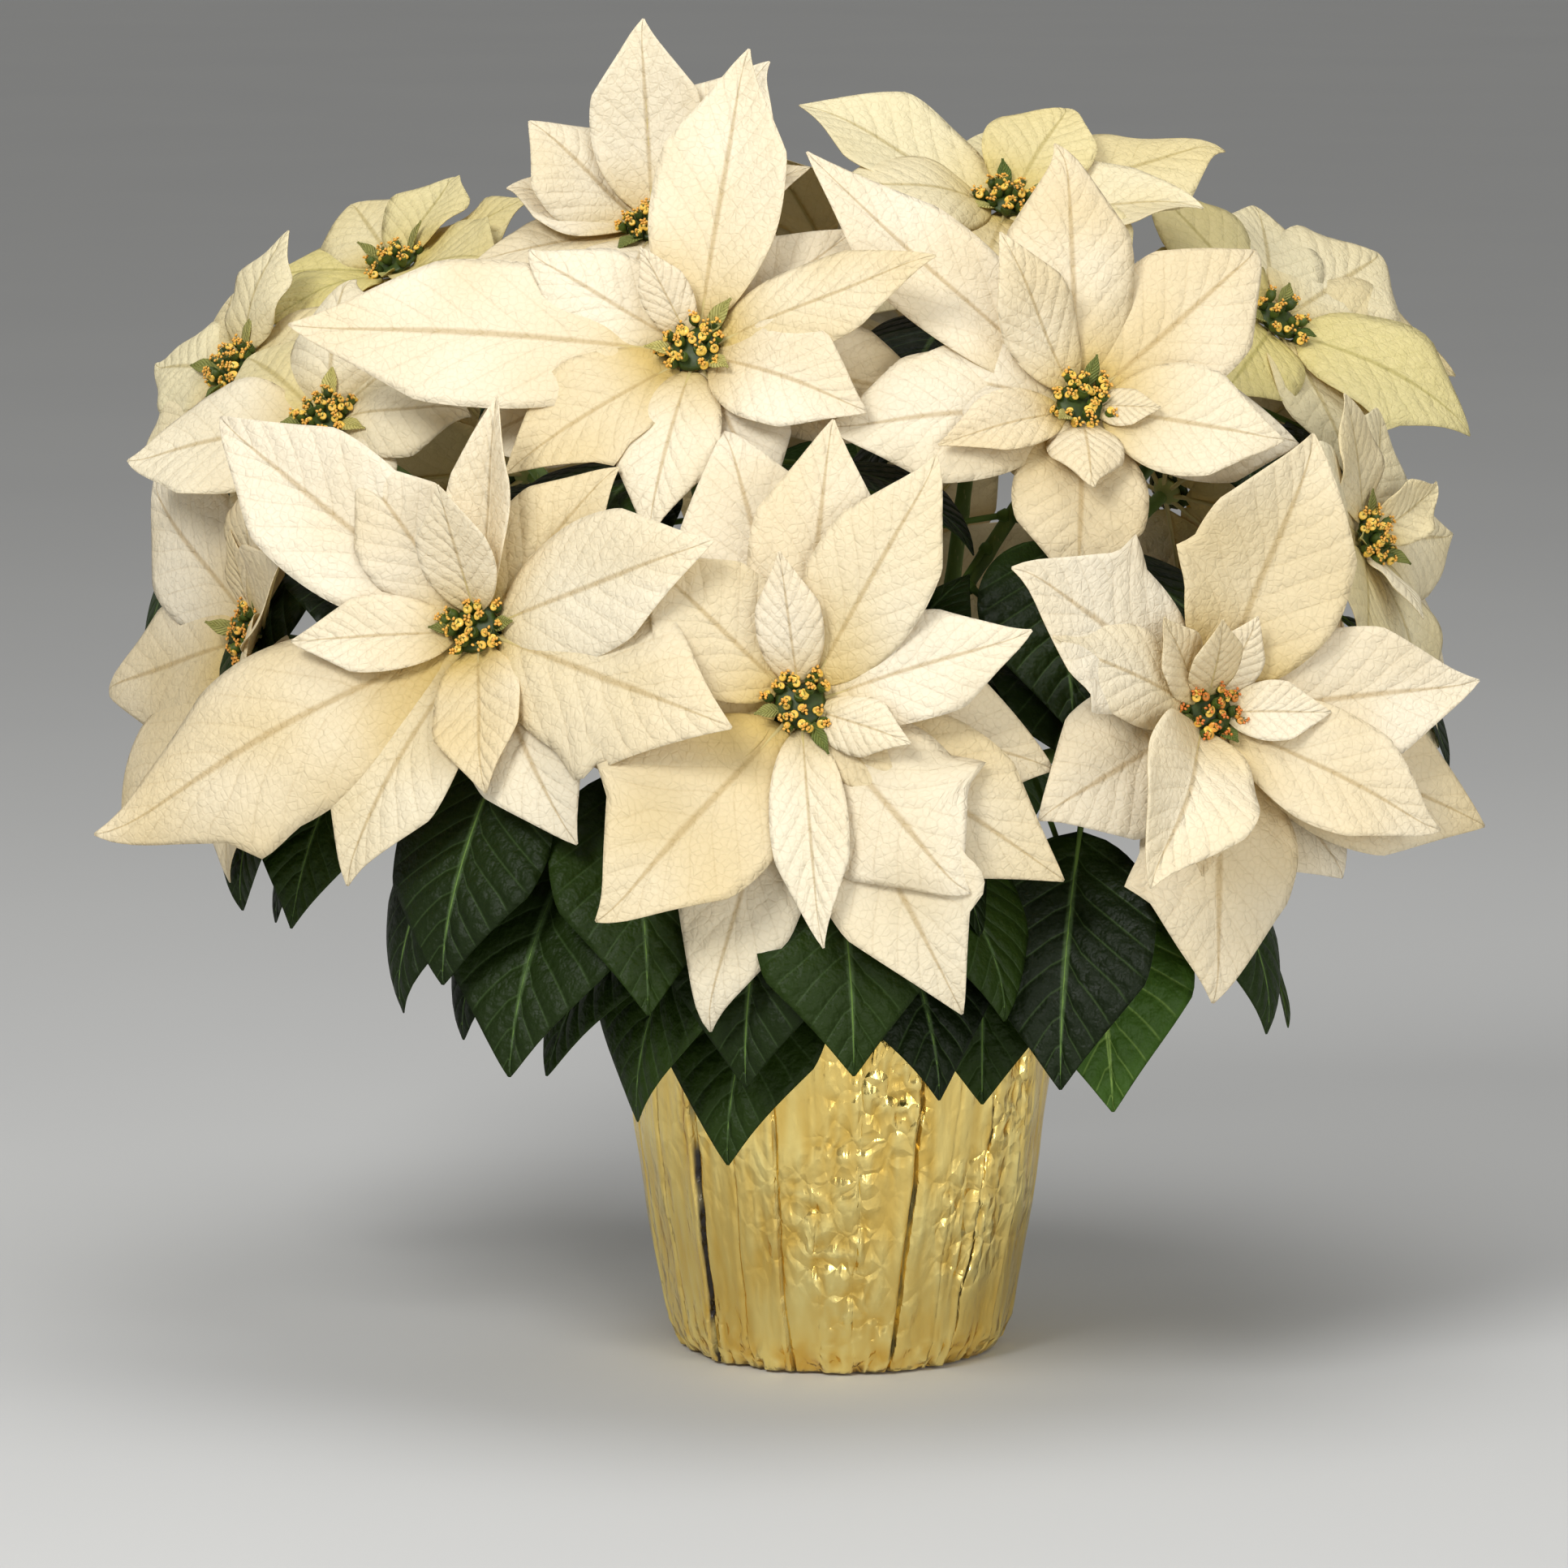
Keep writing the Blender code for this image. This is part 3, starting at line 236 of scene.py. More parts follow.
def lumps_at(points, size, seed=0):
    """Smooth noise from -1 to 1 with lumps of about a size, one for all axes or one for each. Random
    numbers at the corners of a lattice are blended by 3t^2 - 2t^3 along each axis."""
    cell = np.asarray(points) / size
    low = np.floor(cell).astype(np.int64)
    part = cell - low
    part = part * part * (3 - 2 * part)
    total = 0
    for corner in itertools.product((0, 1), repeat=3):
        key = ((low + corner) * (73856093, 19349663, 83492791)).sum(axis=-1) + seed * 6700417
        key = (key ^ (key >> 13)) * 1274126177
        value = ((key ^ (key >> 16)) & 0xFFFF) / 0x8000 - 1
        total = total + value * np.where(corner, part, 1 - part).prod(axis=-1)
    return total


def bead(place, axis, radius, height, rings, sides, dimple=0.0):
    """Rings of a squashed ball: radius * sine of the latitude, and height * its cosine, less a dimple
    that presses in the middle of the top."""
    latitude = math.pi * np.linspace(0, 1, rings + 1)
    out, rise = np.maximum(np.sin(latitude), 0.05), -np.cos(latitude)
    rise = rise - 2 * dimple * np.maximum(rise, 0) * (1 - out)
    return turned(np.stack([out * radius, rise * height], axis=1), sides, place, axis)


def draws(name):
    """A random generator that gives the same numbers for a name each time."""
    return np.random.default_rng(zlib.crc32(name.encode()))


# Moist sphagnum peat: nearly black brown, fibrous and quite matt, with red-brown bark chips. Traits are
# paleness, none, perlite and bark.
PEAT_FIBRE = 2.2 * MM
PEAT_BUMP = 0.9 * MM
potting_mix, node = new_finish("peat_bark_and_perlite")
spot = node("TexCoord", {}, "Object")
traits = node("Attribute", {}, "Color", attribute_name="traits")
bark = node("Attribute", {}, "Alpha", attribute_name="traits")
fibre = node("TexNoise", {"Vector": spot, "Scale": 1 / PEAT_FIBRE, "Detail": 5})
pale = node("SeparateColor", {0: traits})
perlite = node("SeparateColor", {0: traits}, 2)
peat = node("Mix", {0: fibre, 6: "#1E140D", 7: "#4A3422"})
peat = node("Mix", {0: pale, 6: peat, 7: "#5E4630"})
peat = node("Mix", {0: bark, 6: peat, 7: "#7A4E2C"})
white = node("Mix", {0: fibre, 6: "#E9E6DD", 7: "#CFC9BB"})
mix_shader = node("BsdfPrincipled", {
    "Base Color": node("Mix", {0: perlite, 6: peat, 7: white}),
    "Roughness": 0.92,
    "Normal": node("Bump", {"Height": fibre, "Distance": PEAT_BUMP}),
})
node("OutputMaterial", {"Surface": mix_shader})

rng = draws("mix")
share = np.linspace(1, 0.01, MIX_ROWS)
top = turned(np.stack([share * MIX_REACH, np.zeros(MIX_ROWS)], axis=1), MIX_SIDES)
lumpy = sum(tall * lumps_at(top, size * MM, seed) for seed, (size, tall) in enumerate(MIX_LUMPS))
top[..., 2] = (MIX_EDGE + MIX_CROWN * (1 - share[:, None] ** 2) + lumpy) * MM
mix = Gathered()
mix.add_rings(np.concatenate([turned(MIX_SLUG, MIX_SIDES), top]), (0.4, 0.5, 0, 0))
for k in range(CHIP_COUNT):
    angle, out = rng.uniform(0, WHOLE_TURN), CHIP_REACH * math.sqrt(rng.uniform(0, 1))
    perlite_chip = rng.uniform() < PERLITE_SHARE
    height = CHIP_BED - MIX_CROWN * (out / MIX_REACH) ** 2 + rng.uniform(-0.6, 0.8)
    place = np.array((out * math.cos(angle), out * math.sin(angle), height)) * MM
    size = rng.uniform(*(PERLITE_SIZES if perlite_chip else BARK_SIZES))
    axis = unit(rng.normal(size=3))
    chip = bead(place, axis, size, size * (0.8 if perlite_chip else rng.uniform(0.25, 0.5)), 4, 6)
    chip = chip + 0.25 * size * MM * lumps_at(chip, 1.6 * MM, k)[..., None]
    mix.add_rings(chip, (0.3 * rng.uniform(), 0.5, float(perlite_chip), 0.6 * rng.uniform()))
mix = mix.piece("potting_mix_bed", potting_mix, sharp=CHIP_ANGLE)
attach(mix, "root")
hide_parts("potting_mix")

# The stems are three woody trunks rooted in the mix, from cuttings potted together. Each was pinched, so
# green branches leave its top and arch outwards, ringed where leaves have grown and fallen.
TRUNK_RADIUS = 5.5 * MM
TRUNK_FOOT = 66 * MM
TRUNK_STEPS = 26
TRUNK_SIDES = 20
TRUNK_BOW = (1.2, -0.8, 0)
BARK_LUMPS = (9 * MM, 0.07)
BARK_RIDGES = ((2 * MM, 2 * MM, 8 * MM), 0.25 * MM)
FORK_TAPER = (0.98, 0.9, 0.6)
BRANCH_RADIUS = 3.4 * MM
TIP_RADIUS = 2.8 * MM
BRANCH_POINTS = 7
BRANCH_SIDES = 6
SMOOTH_BRANCH_STEPS = 44
SMOOTH_BRANCH_SIDES = 12
NECK = 34 * MM
RISE_SHARE = 0.32
NECK_SHARE = 0.12
RECEPTACLE_DEPTH = 5 * MM
# How many joints a branch has, and how much each swells and how sharply
JOINTS = (9, 12)
JOINT_SWELL = 0.14
JOINT_SHARPNESS = 9
# The share of green at places along a branch, from its fork
GREEN_ALONG = ((0, 0.35, 1), (0.35, 0.8, 1))
LEAF_FOLD = 8
ROSETTE_FOLD = 10
STEEPER = 5


class Blade(NamedTuple):
    """A bract or a leaf. The bearing of a bract is its clock angle in the flower head's plane, seen from
    outside, and that of a leaf is its compass heading, with 0 at the front and 90 at the right. Lift is its
    slope at the root, curl the droop from root to tip, and fold the rise of each half from the midrib.
    Station is how far down the branch from the flower head a leaf's root lies, and sweep turns it
    sideways."""

    bearing: float
    length: float
    width: float
    lift: float
    curl: float
    fold: float
    station: float = 0
    sweep: float = 0


class Head(NamedTuple):
    """A flower head: its centre, the way it faces, its branch's trunk, its bracts and its leaves."""

    name: str
    centre: tuple
    azimuth: float
    elevation: float
    trunk: str
    bracts: tuple
    leaves: tuple


class Trunk(NamedTuple):
    """A rooted stem: where it stands in the mix and where its branches leave it."""

    name: str
    foot: tuple
    fork: tuple


TRUNKS = (
    Trunk("front", (0, -30), (-2, -36, 176)),
    Trunk("left", (-27, 14), (-36, 18, 180)),
    Trunk("right", (27, 16), (36, 18, 182)),
)


def around(*rows):
    """Bracts from rows of bearing, length, width, lift, curl and fold."""
    return tuple(Blade(*row) for row in rows)


def hanging(*rows):
    """Leaves from rows of bearing, length, width, lift, curl and station, all folded alike."""
    return tuple(Blade(*row[:5], LEAF_FOLD, row[5]) for row in rows)


def rosette(lengths, width_share, first, lift, curl):
    """Bracts that divide the circle evenly, with these lengths, from a first bearing. Each second one
    stands a little steeper."""
    step = 360 / len(lengths)
    return around(*(
        (first + k * step, length, length * width_share, lift + (k % 2) * STEEPER, curl, ROSETTE_FOLD)
        for k, length in enumerate(lengths)
    ))


def leaf_fan(headings, length, width, lift, curl, first_station, spacing):
    """Leaves at these headings, set one below another along the branch."""
    return hanging(*(
        (heading, length, width, lift, curl, first_station + k * spacing)
        for k, heading in enumerate(headings)
    ))


HEADS = (
    Head("front_centre", (-16, -165, 280), -4, 22, "front", around(
        (5, 106, 52, 14, 18, 12), (30, 104, 48, 18, 20, 10), (73, 88, 42, 14, 22, 12),
        (121, 116, 56, -6, 22, 8), (139, 93, 62, 8, 26, 6), (151, 128, 56, -2, 24, 8),
        (174, 90, 34, 12, 26, 30), (197, 126, 48, -2, 24, 10), (220, 109, 66, 8, 20, 8),
        (262, 92, 52, -4, 18, 14), (312, 78, 50, 22, 20, 10), (344, 116, 58, -4, 14, 10),
        (352, 56, 26, 36, 20, 14), (112, 44, 24, 24, 24, 12), (133, 50, 22, 18, 24, 16),
        (99, 98, 56, -12, 20, 10),
    ), hanging(
        (14, 136, 70, -38, 44, 46), (-24, 138, 70, -34, 46, 58), (46, 136, 66, -26, 54, 70),
        (-58, 156, 76, -32, 46, 82), (-66, 158, 78, -30, 46, 96), (26, 142, 66, -32, 48, 108),
        (-28, 150, 70, -44, 40, 120),
    )),
    Head("front_left", (-138, -120, 302), -26, 24, "front", around(
        (2, 86, 38, 24, 8, 44), (32, 78, 46, 4, 14, 20), (72, 108, 56, 18, 16, 10),
        (106, 124, 64, 10, 16, 8), (146, 92, 50, 6, 34, 14), (162, 66, 38, 22, 24, 12),
        (201, 106, 54, 4, 22, 10), (236, 170, 74, 8, 24, 10), (258, 70, 32, 22, 14, 16),
        (301, 140, 58, 10, 14, 12), (317, 80, 44, 24, 10, 8), (353, 58, 32, 44, 6, 12),
    ), hanging(
        (-34, 136, 70, -36, 46, 46), (-58, 150, 62, -30, 48, 58), (8, 148, 70, -34, 48, 74),
        (-30, 166, 82, -36, 44, 94), (-58, 154, 68, -26, 54, 110),
    )),
    Head("front_right", (139, -115, 270), 26, 20, "front", around(
        (27, 112, 68, 22, 10, 10), (304, 103, 58, 16, 8, 10), (290, 80, 38, 24, 16, 10),
        (320, 46, 24, 40, 14, 12), (351, 40, 24, 56, 16, 12), (30, 38, 22, 40, 16, 12),
        (90, 108, 54, 14, 12, 12), (99, 44, 24, 30, 18, 10), (114, 124, 64, 2, 14, 10),
        (126, 98, 50, 20, 24, 14), (137, 88, 54, -2, 22, 10), (185, 108, 66, 2, 18, 8),
        (201, 70, 34, 26, 22, 12), (219, 94, 54, 22, 34, 22), (246, 82, 58, 4, 26, 12),
        (56, 92, 54, -6, 14, 10),
    ), hanging(
        (62, 128, 58, -30, 42, 44), (-10, 148, 68, -42, 42, 58), (94, 142, 68, -24, 44, 72),
        (22, 152, 76, -36, 44, 88), (-2, 136, 64, -24, 54, 106), (104, 126, 54, -10, 34, 60),
    )),
    Head("upper_left", (-56, -75, 403), -14, 34, "front", around(
        (3, 120, 54, 12, 2, 12), (70, 98, 38, 20, 10, 10), (110, 74, 46, 18, 40, 12),
        (150, 70, 44, 10, 34, 12), (184, 80, 40, 12, 28, 12), (229, 84, 46, 12, 22, 10),
        (250, 96, 60, -2, 20, 10), (269, 156, 66, 12, 16, 8), (327, 42, 20, 40, 14, 12),
        (296, 76, 42, 18, 16, 12), (40, 80, 42, -2, 12, 12), (92, 94, 54, -12, 16, 10),
    ), hanging(
        (-44, 122, 64, -26, 44, 44), (34, 124, 64, -24, 46, 60), (-86, 128, 64, -8, 38, 76),
        (-6, 134, 66, -20, 50, 94), (84, 124, 62, -10, 40, 112),
    )),
    Head("upper_right", (91, -75, 382), 14, 34, "front", around(
        (3, 104, 52, 14, 4, 10), (52, 103, 58, 10, 10, 10), (107, 76, 50, 14, 18, 10),
        (188, 72, 54, 4, 28, 8), (187, 40, 30, 32, 34, 8), (252, 62, 28, 16, 20, 26),
        (284, 72, 38, 16, 16, 12), (319, 141, 48, 8, 4, 12), (266, 98, 58, -6, 14, 10),
        (104, 28, 17, 34, 24, 10), (332, 72, 34, 34, 10, 12), (30, 74, 38, 2, 8, 12),
        (94, 94, 50, -8, 14, 10),
    ), hanging(
        (8, 126, 66, -26, 44, 42), (60, 120, 62, -12, 38, 58), (-40, 132, 70, -16, 40, 74),
        (30, 134, 66, -18, 46, 92), (-80, 124, 62, -10, 40, 110),
    )),
    Head("side_left", (-228, -30, 287), -62, 12, "left", around(
        (10, 66, 42, 18, 12, 14), (62, 70, 42, 22, 16, 20), (120, 80, 46, 16, 30, 12),
        (178, 94, 54, 8, 20, 12), (218, 118, 56, 8, 18, 10), (251, 112, 56, 12, 12, 8),
        (298, 106, 60, 10, 10, 8), (96, 44, 26, 34, 20, 12), (350, 40, 24, 36, 16, 12),
        (340, 84, 48, -4, 12, 10),
    ), hanging(
        (-60, 112, 60, -14, 44, 38), (-98, 112, 52, 8, 22, 50), (-40, 122, 60, -18, 46, 66),
        (-74, 124, 62, -18, 48, 84),
    )),
    Head("side_right", (206, -10, 322), 62, 16, "right", around(
        (352, 56, 42, 16, 12, 10), (40, 62, 46, 8, 14, 12), (96, 72, 50, 10, 18, 10),
        (128, 100, 60, 6, 14, 8), (172, 84, 54, 12, 22, 12), (232, 78, 48, 20, 20, 10),
        (296, 76, 48, 14, 14, 12), (70, 42, 24, 34, 18, 12), (200, 40, 24, 38, 18, 12),
        (268, 84, 48, -2, 16, 10),
    ), hanging(
        (84, 104, 54, -10, 38, 36), (46, 122, 60, -18, 46, 50), (108, 116, 56, -14, 40, 62),
        (66, 132, 62, -20, 52, 82),
    )),
    Head("curled_left", (-200, -20, 370), -34, 46, "left", around(
        (345, 66, 52, 26, 34, 8), (28, 62, 46, 18, 24, 12), (80, 64, 44, 26, 44, 16),
        (140, 62, 44, 16, 50, 14), (205, 66, 46, -8, 30, 10), (250, 84, 60, 10, 22, 8),
        (300, 78, 56, 18, 36, 8), (55, 84, 50, -6, 22, 10),
    ), leaf_fan((-64, -14, 40), 112, 60, -10, 40, 36, 14)),
    Head("far_left", (-240, 56, 382), -58, 34, "left", around(
        (355, 58, 42, 18, 30, 12), (50, 56, 40, 14, 26, 14), (110, 54, 38, 14, 30, 12),
        (165, 58, 40, 8, 26, 12), (215, 54, 42, 10, 30, 10), (262, 54, 44, 14, 26, 10),
        (308, 56, 42, 14, 28, 10),
    ), hanging(
        (-84, 124, 62, -8, 42, 34), (-120, 92, 54, 0, 40, 48), (-96, 110, 56, -24, 44, 62),
    )),
    Head("back_left", (-178, 94, 420), -50, 62, "left", around(
        (350, 50, 44, 24, 12, 16), (38, 60, 46, 16, 14, 12), (86, 62, 46, 14, 20, 12),
        (140, 68, 48, 12, 22, 12), (196, 66, 48, 14, 20, 12), (246, 64, 46, 14, 14, 10),
        (296, 60, 46, 16, 12, 12),
    ), hanging(
        (-86, 106, 62, 20, 18, 34), (-150, 104, 60, 0, 40, 48),
    )),
    Head("top_left", (-74, 34, 440), -12, 62, "left", around(
        (350, 86, 46, 42, -12, 12), (36, 80, 62, 30, -8, 10), (70, 64, 46, 22, 8, 10),
        (112, 62, 44, 14, 20, 12), (180, 62, 42, 14, 26, 14), (250, 68, 46, 10, 20, 14),
        (284, 60, 46, 16, 14, 12), (302, 66, 54, 36, 4, 10), (216, 72, 48, 2, 24, 12),
    ), leaf_fan((-34, 56, 110), 104, 56, -4, 36, 34, 14)),
    Head("top_right", (66, 30, 450), 16, 64, "right", around(
        (310, 92, 60, 14, 10, 8), (6, 58, 48, 8, 10, 10), (74, 98, 60, 10, 4, 8), (104, 74, 48, 12, 14, 12),
        (150, 68, 46, 14, 30, 12), (206, 72, 52, 12, 34, 10), (268, 72, 56, 20, 30, 10),
        (36, 60, 46, 12, 12, 12), (236, 84, 54, 2, 24, 10),
    ), leaf_fan((-20, 66, -80), 108, 60, -4, 38, 34, 14)),
    Head("back_right", (176, 88, 398), 44, 44, "right", around(
        (340, 76, 54, 10, 14, 8), (30, 68, 52, 4, 12, 10), (72, 88, 62, 10, 14, 8),
        (104, 94, 60, 4, 22, 10), (142, 90, 66, 12, 34, 8), (190, 80, 54, 10, 24, 12),
        (240, 72, 48, 16, 18, 12), (294, 74, 50, 12, 14, 12),
    ), hanging(
        (56, 112, 62, -2, 38, 34), (100, 100, 56, 2, 18, 48),
    )),
    Head(
        "rear_top", (4, 130, 410), 176, 56, "right",
        rosette((92, 84, 98, 86, 94, 88, 90), 0.56, 20, 14, 20),
        leaf_fan((150, -160), 112, 58, -6, 44, 38, 14),
    ),
    Head(
        "rear_left", (-128, 158, 330), -142, 26, "left",
        rosette((112, 98, 118, 104, 122, 100, 110, 96), 0.52, 4, 12, 22),
        leaf_fan((-140, -108, -172), 134, 68, -16, 54, 42, 14),
    ),
    Head(
        "rear_right", (136, 154, 322), 140, 26, "right",
        rosette((104, 118, 98, 120, 102, 114, 106, 100), 0.52, -14, 12, 22),
        leaf_fan((140, 108, 172), 134, 68, -16, 54, 42, 14),
    ),
    Head(
        "rear_centre", (6, 182, 268), 178, 18, "right",
        rosette((108, 98, 120, 104, 114, 100, 118, 102), 0.52, 8, 12, 22),
        leaf_fan((176, -148, 146, -176), 138, 70, -20, 54, 42, 14),
    ),
)


def axes_of(head):
    """(facing, up, right) unit vectors of a flower head, as seen from outside."""
    azimuth, elevation = math.radians(head.azimuth), math.radians(head.elevation)
    flat, rise = math.cos(elevation), math.sin(elevation)
    facing = np.array((math.sin(azimuth) * flat, -math.cos(azimuth) * flat, rise))
    up = np.array((-math.sin(azimuth) * rise, math.cos(azimuth) * rise, flat))
    return facing, up, np.cross(up, facing)


def branch_line(head):
    """A branch's middle line, a cubic Bezier curve: it rises from its trunk's fork and enters the flower
    head from behind."""
    fork = np.array(next(trunk.fork for trunk in TRUNKS if trunk.name == head.trunk)) * MM
    facing, _, _ = axes_of(head)
    tip = np.array(head.centre) * MM - facing * RECEPTACLE_DEPTH
    reach = np.linalg.norm(tip - fork)
    above = fork + np.array((0, 0, reach * RISE_SHARE))
    behind = tip - facing * (NECK + reach * NECK_SHARE)
    t = np.linspace(0, 1, BRANCH_POINTS)[:, None]
    return (
        fork * (1 - t) ** 3 + above * 3 * t * (1 - t) ** 2 + behind * 3 * t * t * (1 - t) + tip * t**3
    )


def smooth_line(points, count):
    """A Catmull-Rom curve through points, sampled evenly: each span is a cubic whose slope at a point is
    half the step between that point's neighbours."""
    points = np.array(points, float)
    points = np.vstack([2 * points[0] - points[1], points, 2 * points[-1] - points[-2]])
    place = np.linspace(0, len(points) - 3, count)
    span = np.minimum(place.astype(int), len(points) - 4)
    u = (place - span)[:, None]
    a, b, c, d = (points[span + k] for k in range(4))
    return (2 * b + (c - a) * u + (2 * a - 5 * b + 4 * c - d) * u**2 + (3 * b - a - 3 * c + d) * u**3) / 2


def tube(line, radii, sides):
    """Rings of points round a line: each is the line's point + radius * (across * cosine + over * sine),
    and across is carried along the line, turning only as the line bends."""
    line = np.asarray(line, float)
    along = unit(np.gradient(line, axis=0))
    side = np.array(Vector(line[1] - line[0]).orthogonal())
    across = np.empty_like(line)
    for k, heading in enumerate(along):
        side = unit(side - heading * side.dot(heading))
        across[k] = side
    over = np.cross(along, across)
    angles = (WHOLE_TURN * np.arange(sides) / sides)[None, :, None]
    spokes = across[:, None] * np.cos(angles) + over[:, None] * np.sin(angles)
    return line[:, None] + np.asarray(radii, float)[:, None, None] * spokes


# Living stem skin: grey-brown cork on the trunks and smooth waxy green on the branches, dotted with pale
# breathing pores 1.6 mm apart. Traits are none, tone, green and none.
CORK_GRAIN = 3 * MM
SKIN_GRAIN = 6 * MM
PORE_SPACING = 1.6 * MM
CORK_DEPTH = 0.5 * MM
stem_skin, node = new_finish("corky_and_green_stem_skin")
spot = node("TexCoord", {}, "Object")
upright = node("Mapping", {"Vector": spot, "Scale": (1, 1, 0.25)})
green = node("Attribute", {}, "Color", attribute_name="traits")
green = node("SeparateColor", {0: green}, 2)
edge = {"Value": green, "From Min": 0.15, "From Max": 0.7}
green = node("MapRange", edge, interpolation_type="SMOOTHSTEP")
cork = node("TexNoise", {"Vector": upright, "Scale": 1 / CORK_GRAIN, "Detail": 4})
skin = node("TexNoise", {"Vector": upright, "Scale": 1 / SKIN_GRAIN, "Detail": 2})
pores = node("TexVoronoi", {"Vector": upright, "Scale": 1 / PORE_SPACING}, "Distance")
pores = node("MapRange", {"Value": pores, "From Min": 0.2, "From Max": 0.1, "To Max": 0.5})
bark = node("Mix", {0: cork, 6: "#5C4A30", 7: "#8A7A52"})
skin = node("Mix", {0: skin, 6: "#4C6A2A", 7: "#7A8E42"})
skin = node("Mix", {0: pores, 6: skin, 7: "#A9A66C"})
stem_shader = node("BsdfPrincipled", {
    "Base Color": node("Mix", {0: green, 6: bark, 7: skin}),
    "Roughness": node("MapRange", {"Value": cork, "To Min": 0.42, "To Max": 0.72}),
    "IOR": 1.45,
    "Normal": node("Bump", {"Height": cork, "Distance": CORK_DEPTH}),
})
node("OutputMaterial", {"Surface": stem_shader})

for trunk in TRUNKS:
    stem = Gathered()
    rng = draws("stem " + trunk.name)
    foot = np.array((*trunk.foot, TRUNK_FOOT / MM)) * MM
    fork = np.array(trunk.fork) * MM
    line = smooth_line([foot, (foot + fork) / 2 + np.array(TRUNK_BOW) * MM, fork], TRUNK_STEPS)
    radii = TRUNK_RADIUS * (1 + BARK_LUMPS[1] * lumps_at(line, BARK_LUMPS[0], 3))
    radii[-3:] *= FORK_TAPER
    rings = tube(line, radii, TRUNK_SIDES)
    rings = rings + BARK_RIDGES[1] * lumps_at(rings, BARK_RIDGES[0], 5)[..., None]
    stem.add_rings(rings, (0, 0.5, 0, 1))
    for head in HEADS:
        if head.trunk != trunk.name:
            continue
        line = smooth_line(branch_line(head), SMOOTH_BRANCH_STEPS)
        share = np.linspace(0, 1, SMOOTH_BRANCH_STEPS)
        joint = rng.uniform(0, 1) + share * rng.uniform(*JOINTS)
        swell = 1 + JOINT_SWELL * np.clip(1 - np.abs(joint % 1 - 0.5) * JOINT_SHARPNESS, 0, 1)
        radii = (BRANCH_RADIUS + (TIP_RADIUS - BRANCH_RADIUS) * share) * swell
        green = np.repeat(np.interp(share, *GREEN_ALONG), SMOOTH_BRANCH_SIDES)
        traits = np.zeros((len(green), 4))
        traits[:, 1] = rng.uniform(0, 1)
        traits[:, 2] = green
        stem.add_rings(tube(line, radii, SMOOTH_BRANCH_SIDES), traits)
    stem = stem.piece("stem_skin_" + trunk.name, stem_skin)
    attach(stem, "root")
    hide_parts("stem_" + trunk.name)

# The bracts are cream leaves that ring the flowers: thin, soft, veined sheets that grow from a rim under
# the cluster, the long ones below the short ones. Each is bent clear of those that grew before it.
BRACT_FOOT = 3.5 * MM
LONG_BRACT = 60
LOWER_TIER = -2.4 * MM
UPPER_TIER = -1.2 * MM
BRACT_STALK = 0.06
LEAF_STALK = 0.28
STALK_HALF_WIDTH = 1.4 * MM
TIP_HALF_WIDTH = 0.5 * MM
BASE_ROUNDNESS = 0.62
TIP_TAPER = 0.72
SHOULDER = 0.62
TIP_NARROWING = 0.62
CURL_POWER = 1.3
MIDRIB_STEPS = 24
MARGIN_DROP = 0.12
COVER_BASE_RADIUS = 67 * MM
COVER_TOP_RADIUS = 87.5 * MM
COVER_HEIGHT = 149 * MM
COVER_SLOPE = (COVER_TOP_RADIUS - COVER_BASE_RADIUS) / COVER_HEIGHT
KEEP_OUT = 1.5 * MM
ENVELOPE_SIDES = 28
TRIAL_ROWS = (0.3, 0.42, 0.54, 0.66, 0.8, 1)
TRIAL_COLUMNS = (-1, -0.5, 0, 0.5, 1)
TRIAL_GAP = 1.2 * MM
LIFT_NUDGES = (0, 4, 8, 12, 16, 20, 25, 30, 36)
SWEEP_NUDGES = (0, 6, -6)
TIP_START = 0.8
TOOTH_RISE = 0.12
TOOTH_FALL = 0.035
HEAVE_WAVES = 1.3
SHEET_THICKNESS = 0.35 * MM
ROW_CROWDING = 1.15
COLUMN_CROWDING = 0.9
RIDGE_SIDES = 6
RIDGE_SINK = 0.9
RIB_END = 0.25 * MM
RIDGE_END = 0.96
RIDGE_STEPS = (5, 12)
BRACT_RIDGE = 0.8
REAR_LINE = 60
FRONT_DETAIL = (34, 15)
REAR_DETAIL = (20, 9)
ROOM_FOR_VEINS = 0.7
VEIN_BOW = 0.85
VEIN_OFFSET = 0.25
BRACT_VEINS = (8.5, 0.3)
# How far the rise of warmth towards a blade's root reaches, as a share of its length, and how much it adds
# at the root: painted shade on a bract, a lighter green on a leaf
ROOT_FLUSH_AND_SHADE = (0.4, 0.75)
CLOUD_SIZE = 24 * MM
CLOUD_DEPTH = 0.2
UNREST = (0.9, 1.8)
WARMTHS = (0, 0.45)
BLUSHES = (0.4, 1.6)
SPUR_COUNT = 3
SPUR_DETAIL = (10, 5)
SPUR_LENGTHS = (10, 19)
SPUR_WIDTHS = (5, 8)
SPUR_LIFTS = (24, 60)
SPUR_BEND = (24, 24)
RECEPTACLE = ((0.3, -5.0), (2.9, -5.0), (4.2, -3.6), (6.4, -1.2), (6.2, 0.2), (3.0, 0.9), (0.2, 1.0))
RECEPTACLE_SIDES = 16


class Trim(NamedTuple):
    """What makes a blade its own: waves along its margin in millimetres, the droop and hook of its tip and
    the heave of its midrib in degrees, how far its margins are crowned, and teeth, each on the side 1 or
    -1, at a share of the length, this much wider than the blade."""

    wave: float = 0.0
    waves: float = 1.5
    phase: float = 0.0
    skew: float = 1.0
    droop: float = 0.0
    hook: float = 0.0
    heave: float = 0.0
    crown: float = 0.0
    teeth: tuple = ()


